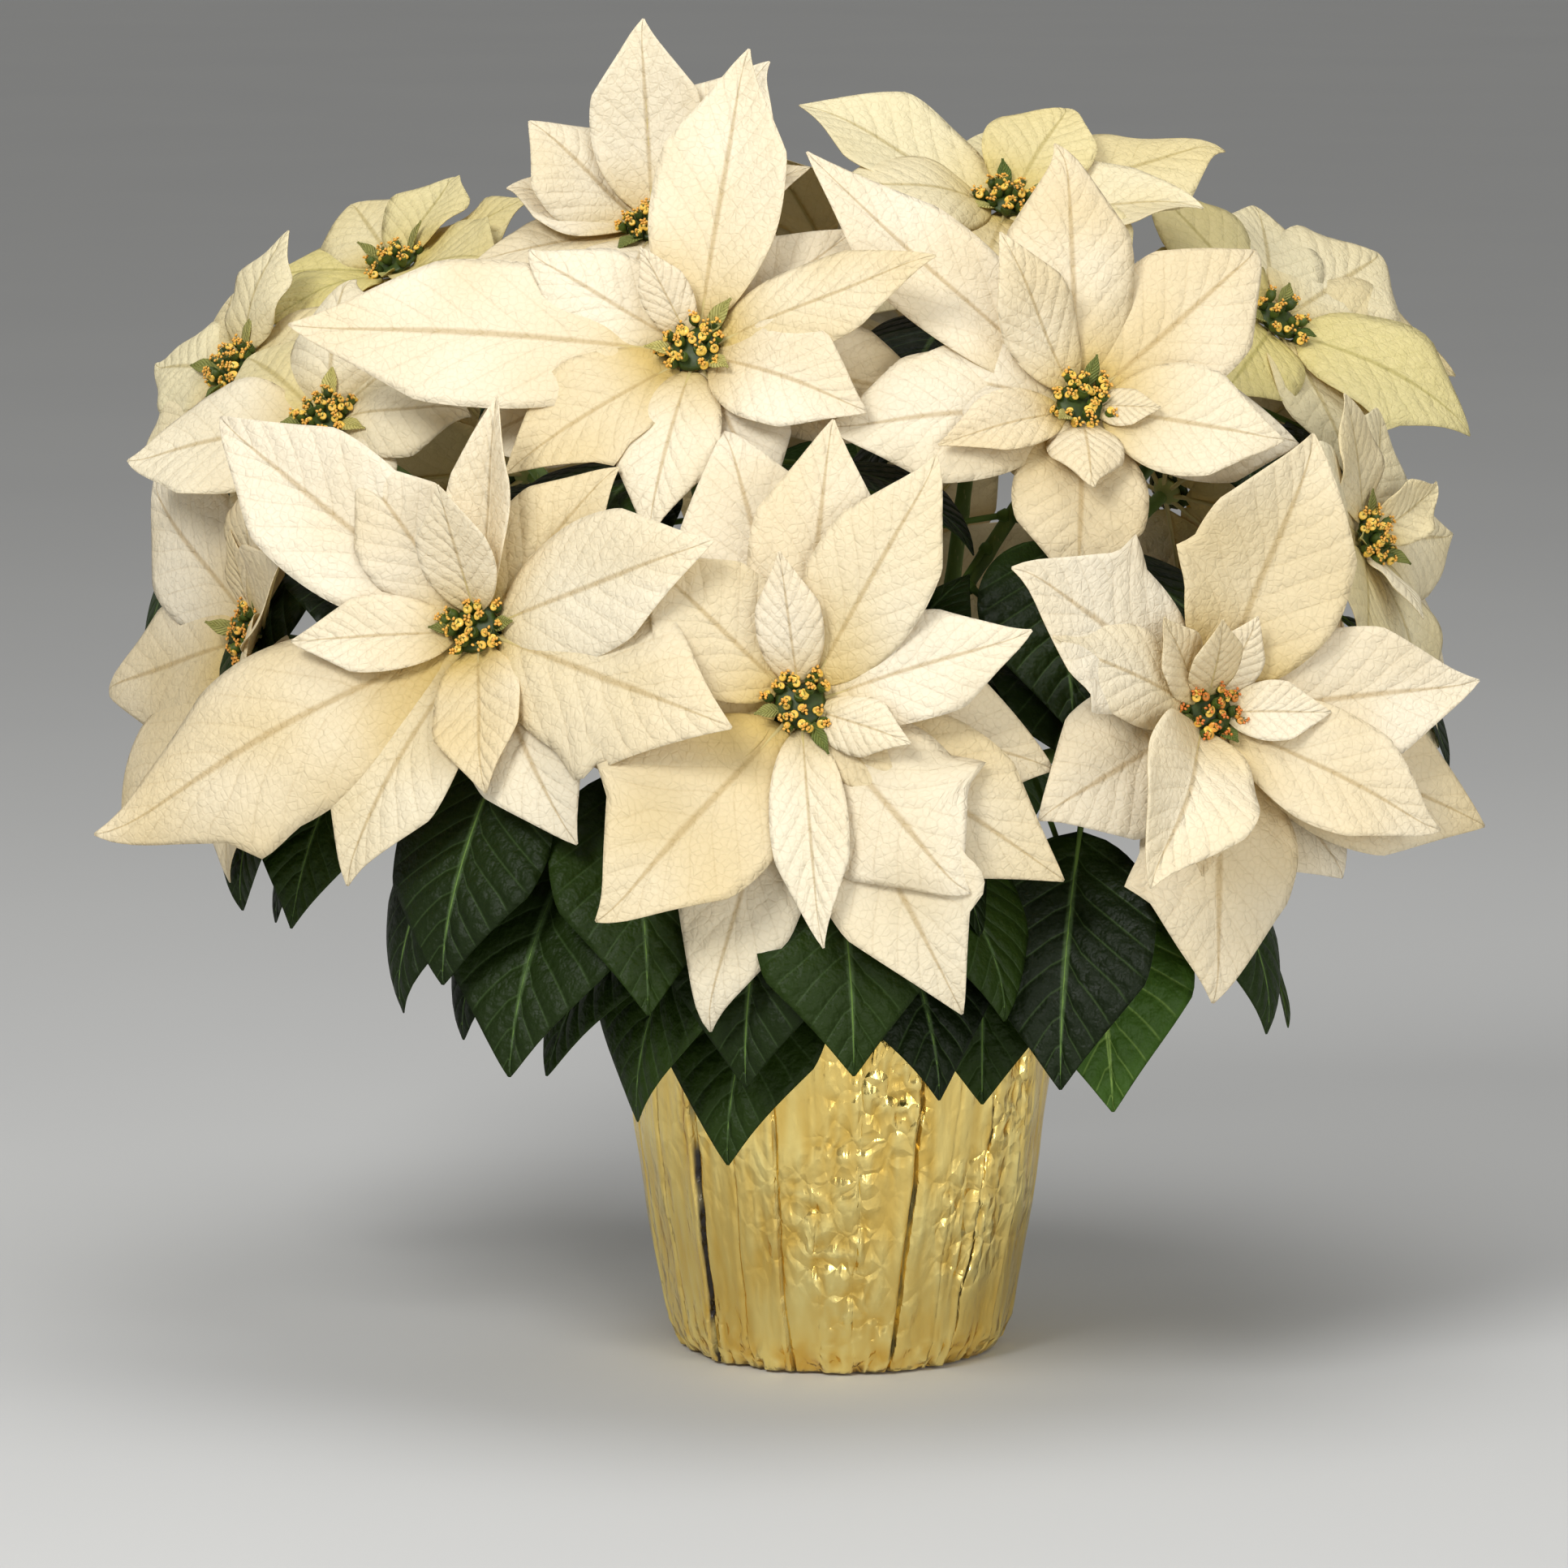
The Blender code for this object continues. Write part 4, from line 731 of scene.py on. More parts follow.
TEETH = {
    ("front_centre", 4): ((-1, 0.62, 0.34),),
    ("front_centre", 8): ((1, 0.60, 0.30),),
    ("front_centre", 5): ((-1, 0.70, 0.30),),
    ("front_centre", 11): ((1, 0.55, 0.22),),
    ("front_left", 3): ((1, 0.55, 0.28),),
    ("front_left", 7): ((-1, 0.66, 0.22),),
    ("front_right", 1): ((1, 0.62, 0.34), (-1, 0.5, 0.24)),
    ("front_right", 0): ((-1, 0.45, 0.2),),
    ("front_right", 11): ((1, 0.6, 0.3),),
    ("top_left", 1): ((1, 0.55, 0.3),),
    ("upper_left", 5): ((-1, 0.6, 0.24),),
    ("side_left", 2): ((1, 0.62, 0.3),),
    ("back_right", 4): ((1, 0.6, 0.2),),
}
# How green each head's bracts still are, from cream at 0 to half ripe at 0.5, and how restless they lie
USUAL_GREENNESS = 0.03
GREENNESS = {
    "curled_left": 0.14,
    "far_left": 0.12,
    "back_left": 0.26,
    "top_right": 0.16,
    "back_right": 0.26,
    "side_right": 0.12,
    "rear_left": 0.1,
    "rear_top": 0.14,
}
RESTLESS = {
    "curled_left": 1.9,
    "far_left": 1.7,
    "back_left": 1.5,
    "side_left": 1.4,
    "side_right": 1.4,
    "top_right": 1.3,
    "back_right": 1.3,
}


def outline(share, stalk):
    """Half-width as a share of the widest: a stalk, a round base and full shoulders, then a drawn-out tip.
    It is t^base * (1 - t)^taper over its peak, narrowed in a straight line past the shoulder."""
    along = np.clip((share - stalk) / (1 - stalk), 0, 1)
    peak = BASE_ROUNDNESS / (BASE_ROUNDNESS + TIP_TAPER)
    widest = peak**BASE_ROUNDNESS * (1 - peak) ** TIP_TAPER
    full = along**BASE_ROUNDNESS * (1 - along) ** TIP_TAPER / widest
    return full * (1 - TIP_NARROWING * np.clip((along - SHOULDER) / (1 - SHOULDER), 0, 1))


def blade_points(blade, root, outward, upward, share, across, stalk, trim=None):
    """Points of a blade's middle surface, at a share of its length and of its half-width. The midrib starts
    along outward at the lift, droops by the curl and turns by the sweep. Each half rises from the midrib by
    the fold, and its margin drops again. A trim adds the blade's own waves, teeth and bent tip."""
    side = np.cross(outward, upward)

    def directions(along):
        bend = np.clip((along - stalk) / (1 - stalk), 0, 1) ** CURL_POWER
        pitch = np.radians(blade.lift - blade.curl * bend)
        turn = np.radians(blade.sweep * along)
        if trim:
            late = np.clip((along - TIP_START) / (1 - TIP_START), 0, 1) ** 2
            swing = np.sin(WHOLE_TURN * (HEAVE_WAVES * along + trim.phase)) - np.sin(WHOLE_TURN * trim.phase)
            pitch = pitch - np.radians(trim.droop) * late + np.radians(trim.heave) * swing
            turn = turn + np.radians(trim.hook) * late
        pitch, turn = pitch[:, None], turn[:, None]
        heading = np.cos(turn) * outward + np.sin(turn) * side
        tangent = np.cos(pitch) * heading + np.sin(pitch) * upward
        normal = -np.sin(pitch) * heading + np.cos(pitch) * upward
        return tangent, normal, np.cos(turn) * side - np.sin(turn) * outward

    steps = np.linspace(0, 1, MIDRIB_STEPS + 1)
    tangent = directions(steps)[0]
    middle = (tangent[1:] + tangent[:-1]) / 2 / MIDRIB_STEPS
    midrib = root + blade.length * MM * np.vstack([np.zeros(3), np.cumsum(middle, axis=0)])
    place = np.stack([np.interp(share, steps, midrib[:, axis]) for axis in range(3)], axis=1)
    _, normal, lateral = directions(share)
    half = np.maximum(blade.width * MM / 2 * outline(share, stalk), TIP_HALF_WIDTH)
    half = np.where(share <= stalk + 0.02, STALK_HALF_WIDTH, half)
    fold = math.radians(blade.fold)
    rise = half * (np.abs(across) * math.sin(fold) - MARGIN_DROP * across**2)
    if trim:
        for hand, at, size in trim.teeth:
            tooth = np.interp(share, (at - TOOTH_RISE, at, at + TOOTH_FALL), (0, 1, 0))
            half = half * (1 + size * tooth * (across * hand > 0))
        swell = np.sin(WHOLE_TURN * (trim.waves * share + trim.phase) + np.sign(across) * trim.skew)
        rise = rise + trim.wave * MM * np.abs(across) ** 2.5 * swell * outline(share, stalk)
        rise = rise + trim.crown * half * across**2
    sideways = (across * half * math.cos(fold))[:, None]
    return place + sideways * lateral + rise[:, None] * normal


def trial(points, faces):
    """A surface that blades are tried against, with the corners of its box."""
    points = points.reshape(-1, 3)
    return BVHTree.FromPolygons(points.tolist(), faces.tolist()), points.min(axis=0), points.max(axis=0)


def trial_blade(blade, root, outward, upward, stalk):
    """The blade's outer part as two sheets a trial gap apart, for finding what it would run into."""
    rows, columns = len(TRIAL_ROWS), len(TRIAL_COLUMNS)
    share, across = np.repeat(TRIAL_ROWS, columns), np.tile(TRIAL_COLUMNS, rows)
    middle = blade_points(blade, root, outward, upward, share, across, stalk)
    grid = middle.reshape(rows, columns, 3)
    normal = unit(np.cross(np.gradient(grid, axis=0), np.gradient(grid, axis=1)))
    faces = grid_faces(rows, columns)
    both = np.stack([grid + side * TRIAL_GAP / 2 * normal for side in (1, -1)])
    return trial(both, np.vstack([faces, faces + rows * columns]))


def hits(tried, obstacles):
    """How many pairs of faces of a trial surface and the obstacles meet."""
    tree, low, high = tried
    return sum(
        len(tree.overlap(other))
        for other, other_low, other_high in obstacles
        if not ((low > other_high).any() or (high < other_low).any())
    )


def settled(blade, root, outward, upward, stalk, obstacles, signs, wanted=True):
    """The blade bent as little as it takes to clear what grew before it, which it then joins. One that isn't
    wanted for certain is left out where nothing clears it."""
    tries = sorted(
        ((lift * sign, sweep) for lift in LIFT_NUDGES for sign in signs for sweep in SWEEP_NUDGES),
        key=lambda nudge: abs(nudge[0]) + abs(nudge[1]) / 2,
    )
    best = None
    for lift, sweep in tries:
        bent = blade._replace(lift=blade.lift + lift, sweep=blade.sweep + sweep)
        tried = trial_blade(bent, root, outward, upward, stalk)
        count = hits(tried, obstacles)
        if best is None or count < best[0]:
            best = (count, bent, tried)
        if count == 0:
            break
    count, bent, tried = best
    if count and not wanted:
        return None
    obstacles.append(tried)
    return bent


def bract_root(head, blade):
    """Where a bract starts: inside the receptacle's rim, the long ones below the short ones."""
    facing, up, right = axes_of(head)
    bearing = math.radians(blade.bearing)
    outward = up * math.cos(bearing) + right * math.sin(bearing)
    tier = LOWER_TIER if blade.length > LONG_BRACT else UPPER_TIER
    return np.array(head.centre) * MM + outward * BRACT_FOOT + facing * tier, outward, facing


def own_trim(rng, blade, restless, teeth=()):
    """A blade's own waves and tip, drawn from a seeded generator and wider on a restless head."""
    size = blade.width / 50 * restless
    return Trim(
        wave=rng.uniform(0.6, 1.4) * size,
        waves=rng.uniform(1.2, 2.6),
        phase=rng.uniform(0, 1),
        skew=rng.uniform(0.5, 2.5),
        droop=rng.uniform(-8, 24) * restless,
        hook=rng.uniform(-20, 20) * restless,
        heave=rng.uniform(-4, 4) * restless,
        crown=rng.uniform(-0.16, 0.1) * restless,
        teeth=teeth,
    )


def grow(whorl, blade, root, outward, upward, stalk, trim, warmth, green, veins, detail, offset):
    """Adds a blade to a whorl as a thin closed sheet, with its midrib and its stalk as a ridge below it. Its
    veins run at course = along - bow of the distance from the midrib, counted in pairs of veins. Warmth, a
    leaf's tone, clouds over in soft lumps at random and rises towards the root: on a bract that rise is
    painted shade, on a leaf a lighter green. Flat places are in metres on the sheet."""
    rows, columns = detail
    pairs, lean = veins
    steps = np.linspace(0, 1, rows)
    rows_at = stalk + (1 - stalk) * (1 - (1 - steps) ** ROW_CROWDING)
    over = np.linspace(-1, 1, columns)
    over = np.sign(over) * np.abs(over) ** COLUMN_CROWDING
    share, across = np.repeat(rows_at, columns), np.tile(over, rows)
    middle = blade_points(blade, root, outward, upward, share, across, stalk, trim)
    grid = middle.reshape(rows, columns, 3)
    normal = unit(np.cross(np.gradient(grid, axis=1), np.gradient(grid, axis=0)))
    lift = SHEET_THICKNESS / 2 * normal
    index = np.arange(rows * columns).reshape(rows, columns)
    edge = np.concatenate([index[0], index[1:, -1], index[-1, -2::-1], index[-2:0:-1, 0]])
    after, sheet = np.roll(edge, -1), rows * columns
    upper = grid_faces(rows, columns)
    rim = np.stack([after, edge, edge + sheet, after + sheet], axis=1)
    faces = np.vstack([upper, upper[:, ::-1] + sheet, rim])
    along = (share - stalk) / (1 - stalk)
    beside = np.abs(across)
    room = np.maximum(4 * along * (1 - along), 0.02) ** ROOM_FOR_VEINS
    course = pairs * (along - room * beside**VEIN_BOW * lean) + VEIN_OFFSET * np.sign(across)
    # Painted shade on a bract, and a lighter green on a leaf, rising towards the root
    root_flush_and_shade = ROOT_FLUSH_AND_SHADE[1] * np.clip(1 - along / ROOT_FLUSH_AND_SHADE[0], 0, 1) ** 1.5
    warm = np.clip(warmth + root_flush_and_shade + CLOUD_DEPTH * lumps_at(middle, CLOUD_SIZE, 7), 0, 1)
    one = np.ones(sheet)
    traits = np.stack([0 * one, warm, green * one, 0 * one], axis=1)
    lines = np.stack([course, beside, along, one], axis=1)
    flats = np.stack([share * blade.length, across * outline(share, stalk) * blade.width / 2], axis=1) * MM
    whorl.add(
        np.stack([grid + lift, grid - lift]),
        faces,
        np.vstack([traits, traits + (1, 0, 0, 0)]),
        np.vstack([flats, flats]) + offset,
        np.vstack([lines, lines]),
    )
    below, above = RIDGE_STEPS
    ridge = np.concatenate([np.linspace(0, stalk, below)[:-1], np.linspace(stalk, RIDGE_END, above)])
    line = blade_points(blade, root, outward, upward, ridge, np.zeros(len(ridge)), stalk, trim)
    thick = STALK_HALF_WIDTH * (1 if stalk == LEAF_STALK else BRACT_RIDGE)
    radii = np.interp(ridge, (0, stalk, 1), (thick, thick * 0.85, RIB_END))
    sunk = radii * np.clip((ridge - stalk) * 8, 0, 1) * RIDGE_SINK
    whorl.add_rings(tube(line - sunk[:, None] * upward, radii, RIDGE_SIDES), (1, warmth, green, 1))


obstacles = []
for head in HEADS:
    line = branch_line(head)
    share = np.arange(BRANCH_POINTS) / (BRANCH_POINTS - 1)
    radii = BRANCH_RADIUS + (TIP_RADIUS - BRANCH_RADIUS) * share + TRIAL_GAP
    skin = tube(line, radii, BRANCH_SIDES)
    obstacles.append(trial(skin, grid_faces(BRANCH_POINTS, BRANCH_SIDES, ring=True)))
rim_height = COVER_HEIGHT + KEEP_OUT
rim_radius = COVER_BASE_RADIUS + COVER_SLOPE * rim_height + KEEP_OUT
axis = [(0, 0, -KEEP_OUT), (0, 0, rim_height), (0, 0, rim_height + TRIAL_GAP)]
skin = tube(axis, (COVER_BASE_RADIUS + KEEP_OUT, rim_radius, 0), ENVELOPE_SIDES)
obstacles.append(trial(skin, grid_faces(len(axis), ENVELOPE_SIDES, ring=True)))
bracts = {
    head.name: [
        settled(blade, *bract_root(head, blade), BRACT_STALK, obstacles, (1, -1))
        for blade in head.bracts
    ]
    for head in HEADS
}

PUCKER_GRAIN = 4 * MM


def blade_nodes(node, vein_edge, midrib_edge, vein_end):
    """The nodes that read a blade: its three traits and its rib, its flat place, the pucker of its skin,
    a wave that rises to 1 at each vein, and the drawn veins, which fade before the margin, and midrib."""
    traits = node("Attribute", {}, "Color", attribute_name="traits")
    rib = node("Attribute", {}, "Alpha", attribute_name="traits")
    three = [node("SeparateColor", {0: traits}, k) for k in range(3)]
    lines = node("Attribute", {}, "Color", attribute_name="veins")
    course, beside = (node("SeparateColor", {0: lines}, k) for k in range(2))
    flat = node("UVMap", {}, uv_map="UVMap")
    grain = {"Vector": flat, "Scale": 1 / PUCKER_GRAIN, "Detail": 2}
    pucker = node("TexNoise", grain, noise_dimensions="2D")
    part = node("Math", {0: course}, operation="FRACT")
    part = node("Math", {0: part, 1: 2, 2: -1}, operation="MULTIPLY_ADD")
    wave = node("Math", {0: part}, operation="ABSOLUTE")
    inside, vein, midrib = (
        node("MapRange", {"Value": value, "From Min": low, "From Max": high})
        for value, (low, high) in ((beside, (1, vein_end)), (wave, vein_edge), (beside, midrib_edge))
    )
    vein = node("Math", {0: vein, 1: inside}, operation="MULTIPLY")
    return (*three, rib), flat, pucker, wave, vein, midrib


# A bract's skin: soft matt cream, warmer where it clouds over at random, with fine tan veins and a pucker
# between each two. Towards the root it is painted darker tan, as painted shade. It is 0.35 mm thick, and a
# quarter of the light that meets it comes through yellow. Its finest net of veins, 0.4 mm in life, is drawn
# at 3.2 mm, because less would not show. Traits are under, warmth with painted shade towards the root,
# green and rib, and veins are course, beside, along and 1.
NET_SPACING = 3.2 * MM
PUCKER_DEPTH = 0.8 * MM
BRACT_VEIN_EDGE = (0.88, 0.99)
BRACT_MIDRIB_EDGE = (0.06, 0.02)
BRACT_VEIN_END = 0.7
cream_bract, node = new_finish("cream_bract_skin")
(under, warm, green, rib), flat, pucker, wave, vein, midrib = blade_nodes(
    node, BRACT_VEIN_EDGE, BRACT_MIDRIB_EDGE, BRACT_VEIN_END
)
net = {"Vector": flat, "Scale": 1 / NET_SPACING}
net = node("TexVoronoi", net, voronoi_dimensions="2D", feature="DISTANCE_TO_EDGE")
net = node("MapRange", {"Value": net, "From Min": 0.14, "From Max": 0})
drawn = node("Math", {0: vein, 1: 0.15, 2: 0}, operation="MULTIPLY_ADD")
drawn = node("Math", {0: net, 1: 0.07, 2: drawn}, operation="MULTIPLY_ADD")
drawn = node("Math", {0: midrib, 1: 0.5, 2: drawn}, operation="MULTIPLY_ADD", use_clamp=True)
# Warmth is random tone, plus painted shade towards the root
cream = node("Mix", {0: warm, 6: "#F3EAD3", 7: "#D3B66C"})
ripening = node("MapRange", {"Value": green, "From Min": 0, "From Max": 0.5})
unripe = node("MapRange", {"Value": green, "From Min": 0.5, "From Max": 0.95})
yellow = node("Mix", {0: pucker, 6: "#E6D98C", 7: "#CFC46A"})
ripe = node("Mix", {0: ripening, 6: cream, 7: yellow})
ripe = node("Mix", {0: unripe, 6: ripe, 7: "#4B6524"})
tan = node("Mix", {0: ripening, 6: "#B4955A", 7: "#9C9A44"})
lined = node("Mix", {0: drawn, 6: ripe, 7: tan})
# The underside is painted darker tan, as painted shade.
below = node("Mix", {0: unripe, 6: "#E2CB8C", 7: "#7F9A50"})
shaded = node("Math", {0: under, 1: 0.45}, operation="MULTIPLY")
sided = node("Mix", {0: shaded, 6: lined, 7: below})
ridged = node("Mix", {0: unripe, 6: "#D2C080", 7: "#7F9440"})
colour = node("Mix", {0: rib, 6: sided, 7: ridged})
height = node("Math", {0: wave, 1: wave}, operation="MULTIPLY")
height = node("Math", {0: height, 1: -0.5, 2: pucker}, operation="MULTIPLY_ADD")
height = node("Math", {0: net, 1: -0.14, 2: height}, operation="MULTIPLY_ADD")
quilted = node("Bump", {"Height": height, "Distance": PUCKER_DEPTH})
skin = node("BsdfPrincipled", {
    "Base Color": colour,
    "Roughness": 0.55,
    "Specular IOR Level": 0.3,
    "Normal": quilted,
})
lit_through = node("Mix", {0: 0.5, 6: colour, 7: "#F2D48A"})
glow = node("BsdfTranslucent", {"Color": lit_through, "Normal": quilted})
bract_shader = node("MixShader", {0: 0.24, 1: skin, 2: glow})
node("OutputMaterial", {"Surface": bract_shader})

for head in HEADS:
    whorl = Gathered()
    rng = draws("bracts " + head.name)
    facing, up, right = axes_of(head)
    detail = FRONT_DETAIL if head.centre[1] < REAR_LINE else REAR_DETAIL
    greenness, restless = GREENNESS.get(head.name, USUAL_GREENNESS), RESTLESS.get(head.name, 1)
    for k, blade in enumerate(bracts[head.name]):
        trim = own_trim(rng, blade, restless * rng.uniform(*UNREST), TEETH.get((head.name, k), ()))
        warmth, blush = rng.uniform(*WARMTHS), greenness * rng.uniform(*BLUSHES)
        way, offset = bract_root(head, blade), rng.uniform(0, 1, 2)
        grow(whorl, blade, *way, BRACT_STALK, trim, warmth, blush, BRACT_VEINS, detail, offset)
    centre = np.array(head.centre) * MM
    for k in range(SPUR_COUNT):
        bearing = k * WHOLE_TURN / SPUR_COUNT + rng.uniform(-0.8, 0.8)
        outward = up * math.cos(bearing) + right * math.sin(bearing)
        size = (rng.uniform(*each) for each in (SPUR_LENGTHS, SPUR_WIDTHS, SPUR_LIFTS))
        spur = Blade(0, *size, *SPUR_BEND)
        root = centre + outward * BRACT_FOOT * 2
        trim, unripe = own_trim(rng, spur, 1), rng.uniform(0.55, 0.95)
        way = (root, outward, facing)
        grow(whorl, spur, *way, BRACT_STALK, trim, 0.5, unripe, BRACT_VEINS, SPUR_DETAIL, (0, 0))
    whorl.add_rings(turned(RECEPTACLE, RECEPTACLE_SIDES, centre, facing), (0, 0.5, 0.8, 1))
    whorl = whorl.piece("bract_whorl_" + head.name, cream_bract)
    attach(whorl, "root")
    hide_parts("bracts_" + head.name)

# The leaves stand one below another down each branch on their own stalks: dark green, leathery and folded
# a little along the midrib. They hang over the pot's rim and close the gaps between the flower heads.
LEAF_VEINS = (9.5, 0.28)
SCAR = (2.6, 2.9, 2.2, 1.5)
SCAR_SIDES = 8
FRESH_LEAVES = (("front_right", 3), ("back_right", 1))
# Leaves that stand too deep in the plant for the solids
INNER_LEAVES = {
    "front_centre": hanging(
        (130, 96, 56, 44, 16, 60), (100, 96, 54, 36, 20, 72), (62, 104, 52, 4, 44, 38),
        (-88, 104, 52, 2, 44, 40),
    ),
    "front_left": hanging(
        (-110, 96, 46, -4, 44, 36), (52, 104, 50, -8, 46, 40), (96, 104, 50, 0, 44, 54),
    ),
    "front_right": hanging(
        (170, 100, 58, 34, 20, 62), (204, 96, 54, 40, 20, 84), (-110, 96, 54, 30, 24, 70),
        (104, 96, 46, -2, 44, 40),
    ),
    "upper_left": hanging(
        (-40, 104, 52, -10, 46, 34), (24, 112, 56, -14, 50, 42), (70, 104, 52, -4, 48, 52),
        (-92, 100, 50, 0, 46, 56),
    ),
    "upper_right": hanging(
        (-58, 108, 56, -8, 50, 32), (-6, 96, 54, -30, 40, 50), (24, 90, 50, -40, 36, 64),
        (-30, 90, 50, -36, 36, 36), (-84, 100, 52, 0, 44, 58),
    ),
    "curled_left": hanging(
        (52, 80, 48, -14, 40, 34), (84, 84, 48, -10, 44, 44), (110, 84, 48, 10, 40, 54),
    ),
    "side_left": hanging(
        (60, 92, 46, -4, 44, 34), (110, 88, 44, 4, 40, 46),
    ),
    "side_right": hanging(
        (-50, 96, 48, -4, 44, 34), (-100, 92, 46, 0, 42, 46),
    ),
    "top_left": hanging(
        (10, 96, 50, -6, 46, 30), (56, 92, 46, 0, 40, 40), (-60, 92, 46, -4, 44, 48),
    ),
    "top_right": hanging(
        (-30, 92, 46, -4, 44, 30), (24, 92, 48, -8, 46, 40),
    ),
    "back_right": hanging(
        (-60, 88, 44, 0, 42, 30), (10, 92, 46, -8, 46, 40),
    ),
}
SLEEVE_WALL = 1.2 * MM


def leaf_root(head, blade):
    """Where a leaf starts: on the skin of its branch, a station back from the branch's tip."""
    heading = math.radians(blade.bearing)
    outward = np.array((math.sin(heading), -math.cos(heading), 0))
    line = branch_line(head)[::-1]
    run = np.concatenate([[0], np.cumsum(np.linalg.norm(np.diff(line, axis=0), axis=1))])
    place = np.array([np.interp(blade.station * MM, run, line[:, k]) for k in range(3)])
    return place + outward * (BRANCH_RADIUS + SLEEVE_WALL / 2), outward, np.array((0, 0, 1.0))


leaves = {
    head.name: [
        settled(leaf, *leaf_root(head, leaf), LEAF_STALK, obstacles, (-1,)) for leaf in head.leaves
    ]
    for head in HEADS
}
for head in HEADS:
    inner = [
        settled(leaf, *leaf_root(head, leaf), LEAF_STALK, obstacles, (-1,), wanted=False)
        for leaf in INNER_LEAVES.get(head.name, ())
    ]
    leaves[head.name] += [leaf for leaf in inner if leaf]

# A leaf's skin: very dark green with a waxy half gloss, sunk along thin paler veins, and paler and matt
# below. A young leaf is yellow green. Traits are under, tone, fresh and rib, and veins as on a bract.
BLISTER_DEPTH = 1.2 * MM
LEAF_VEIN_EDGE = (0.86, 0.98)
LEAF_MIDRIB_EDGE = (0.055, 0.02)
LEAF_VEIN_END = 0.8
green_leaf, node = new_finish("waxy_green_leaf_skin")
(under, tone, fresh, rib), flat, pucker, wave, vein, midrib = blade_nodes(
    node, LEAF_VEIN_EDGE, LEAF_MIDRIB_EDGE, LEAF_VEIN_END
)
drawn = node("Math", {0: vein, 1: 0.45, 2: midrib}, operation="MULTIPLY_ADD", use_clamp=True)
dark = node("Mix", {0: tone, 6: "#111B07", 7: "#24350C"})
dark = node("Mix", {0: fresh, 6: dark, 7: "#38541A"})
pale = node("Mix", {0: fresh, 6: "#42562F", 7: "#7F9A4C"})
top = node("Mix", {0: drawn, 6: dark, 7: pale})
below = node("Mix", {0: drawn, 6: "#3A5222", 7: "#66803F"})
sided = node("Mix", {0: under, 6: top, 7: below})
colour = node("Mix", {0: rib, 6: sided, 7: "#5F7A38"})
height = node("Math", {0: wave, 1: wave}, operation="MULTIPLY")
height = node("Math", {0: height, 1: -0.8, 2: pucker}, operation="MULTIPLY_ADD")
blistered = node("Bump", {"Height": height, "Distance": BLISTER_DEPTH})
skin = node("BsdfPrincipled", {
    "Base Color": colour,
    "Roughness": node("MapRange", {"Value": pucker, "To Min": 0.4, "To Max": 0.6}),
    "Specular IOR Level": 0.14,
    "Normal": blistered,
})
lit_through = node("Mix", {0: 0.3, 6: colour, 7: "#5E8416"})
glow = node("BsdfTranslucent", {"Color": lit_through, "Normal": blistered})
leaf_shader = node("MixShader", {0: 0.08, 1: skin, 2: glow})
node("OutputMaterial", {"Surface": leaf_shader})

for head in HEADS:
    whorl = Gathered()
    rng = draws("leaves " + head.name)
    detail = FRONT_DETAIL if head.centre[1] < REAR_LINE else REAR_DETAIL
    for k, leaf in enumerate(leaves[head.name]):
        trim = own_trim(rng, leaf, rng.uniform(0.6, 1.1))
        tone, young = rng.uniform(0, 1), float((head.name, k) in FRESH_LEAVES)
        way, offset = leaf_root(head, leaf), rng.uniform(0, 1, 2)
        root, outward, _ = way
        grow(whorl, leaf, *way, LEAF_STALK, trim, tone, young, LEAF_VEINS, detail, offset)
        scar = np.linspace(root - outward * 2.6 * MM, root + outward * 1.6 * MM, len(SCAR))
        whorl.add_rings(tube(scar, np.array(SCAR) * MM, SCAR_SIDES), (1, 0.5, young, 1))
    whorl = whorl.piece("leaf_whorl_" + head.name, green_leaf)
    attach(whorl, "root")
    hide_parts("leaves_" + head.name)

# The true flowers sit at the middle of each ring of bracts: a dome of small green cups, each with one or
# two fleshy yellow nectar glands on its lip and a tuft of stamens with yellow anthers.
CUPS_IN_FRONT = 17
CUPS_BEHIND = 10
CLUSTER_SPREAD = 11
GOLDEN_ANGLE = math.radians(137.5)
# The bed under the cups as (radius, height), painted near black green as the shade between the cups
CLUSTER_SHADE_BED = ((0.2, 0.4), (8.0, 0.4), (9.8, 0.9), (8.2, 2.0), (4.4, 3.0), (0.2, 3.2))
CUP = (
    (0.5, -1.5), (1.0, 0), (1.9, 1.1), (2.3, 2.6), (2.2, 4.0),
    (1.75, 4.9), (1.95, 5.6), (1.3, 5.0), (0.3, 4.4),
)
CUP_SIDES = 12
GLAND_DIMPLE = 0.5
STAMEN_RADIUS = 0.2 * MM
ANTHER = (0.55, 0.7)
REDNESS = {"front_right": 0.8, "side_left": 0.3}
USUAL_REDNESS = 0.1
# How far up a cup its mouth lies, and how far out its lip and its stamens stand
CUP_MOUTH = 4.4
LIP_REACH = 1.8
TUFT_REACH = 0.5
ONE_GLAND_SHARE = 0.45
CUP_LEANS = (0.5, 0.8)
CUP_SCALES = (0.8, 1.1)
CUP_STANDS = (-0.8, 1.2)
DOME = (2.6, 2.2)
GLAND_RADII = (1.6, 2.1)
GLAND_HEIGHTS = (1.0, 1.4)
STAMEN_SPREADS = (0.15, 0.6)
STAMEN_LENGTHS = (1.2, 2.6)

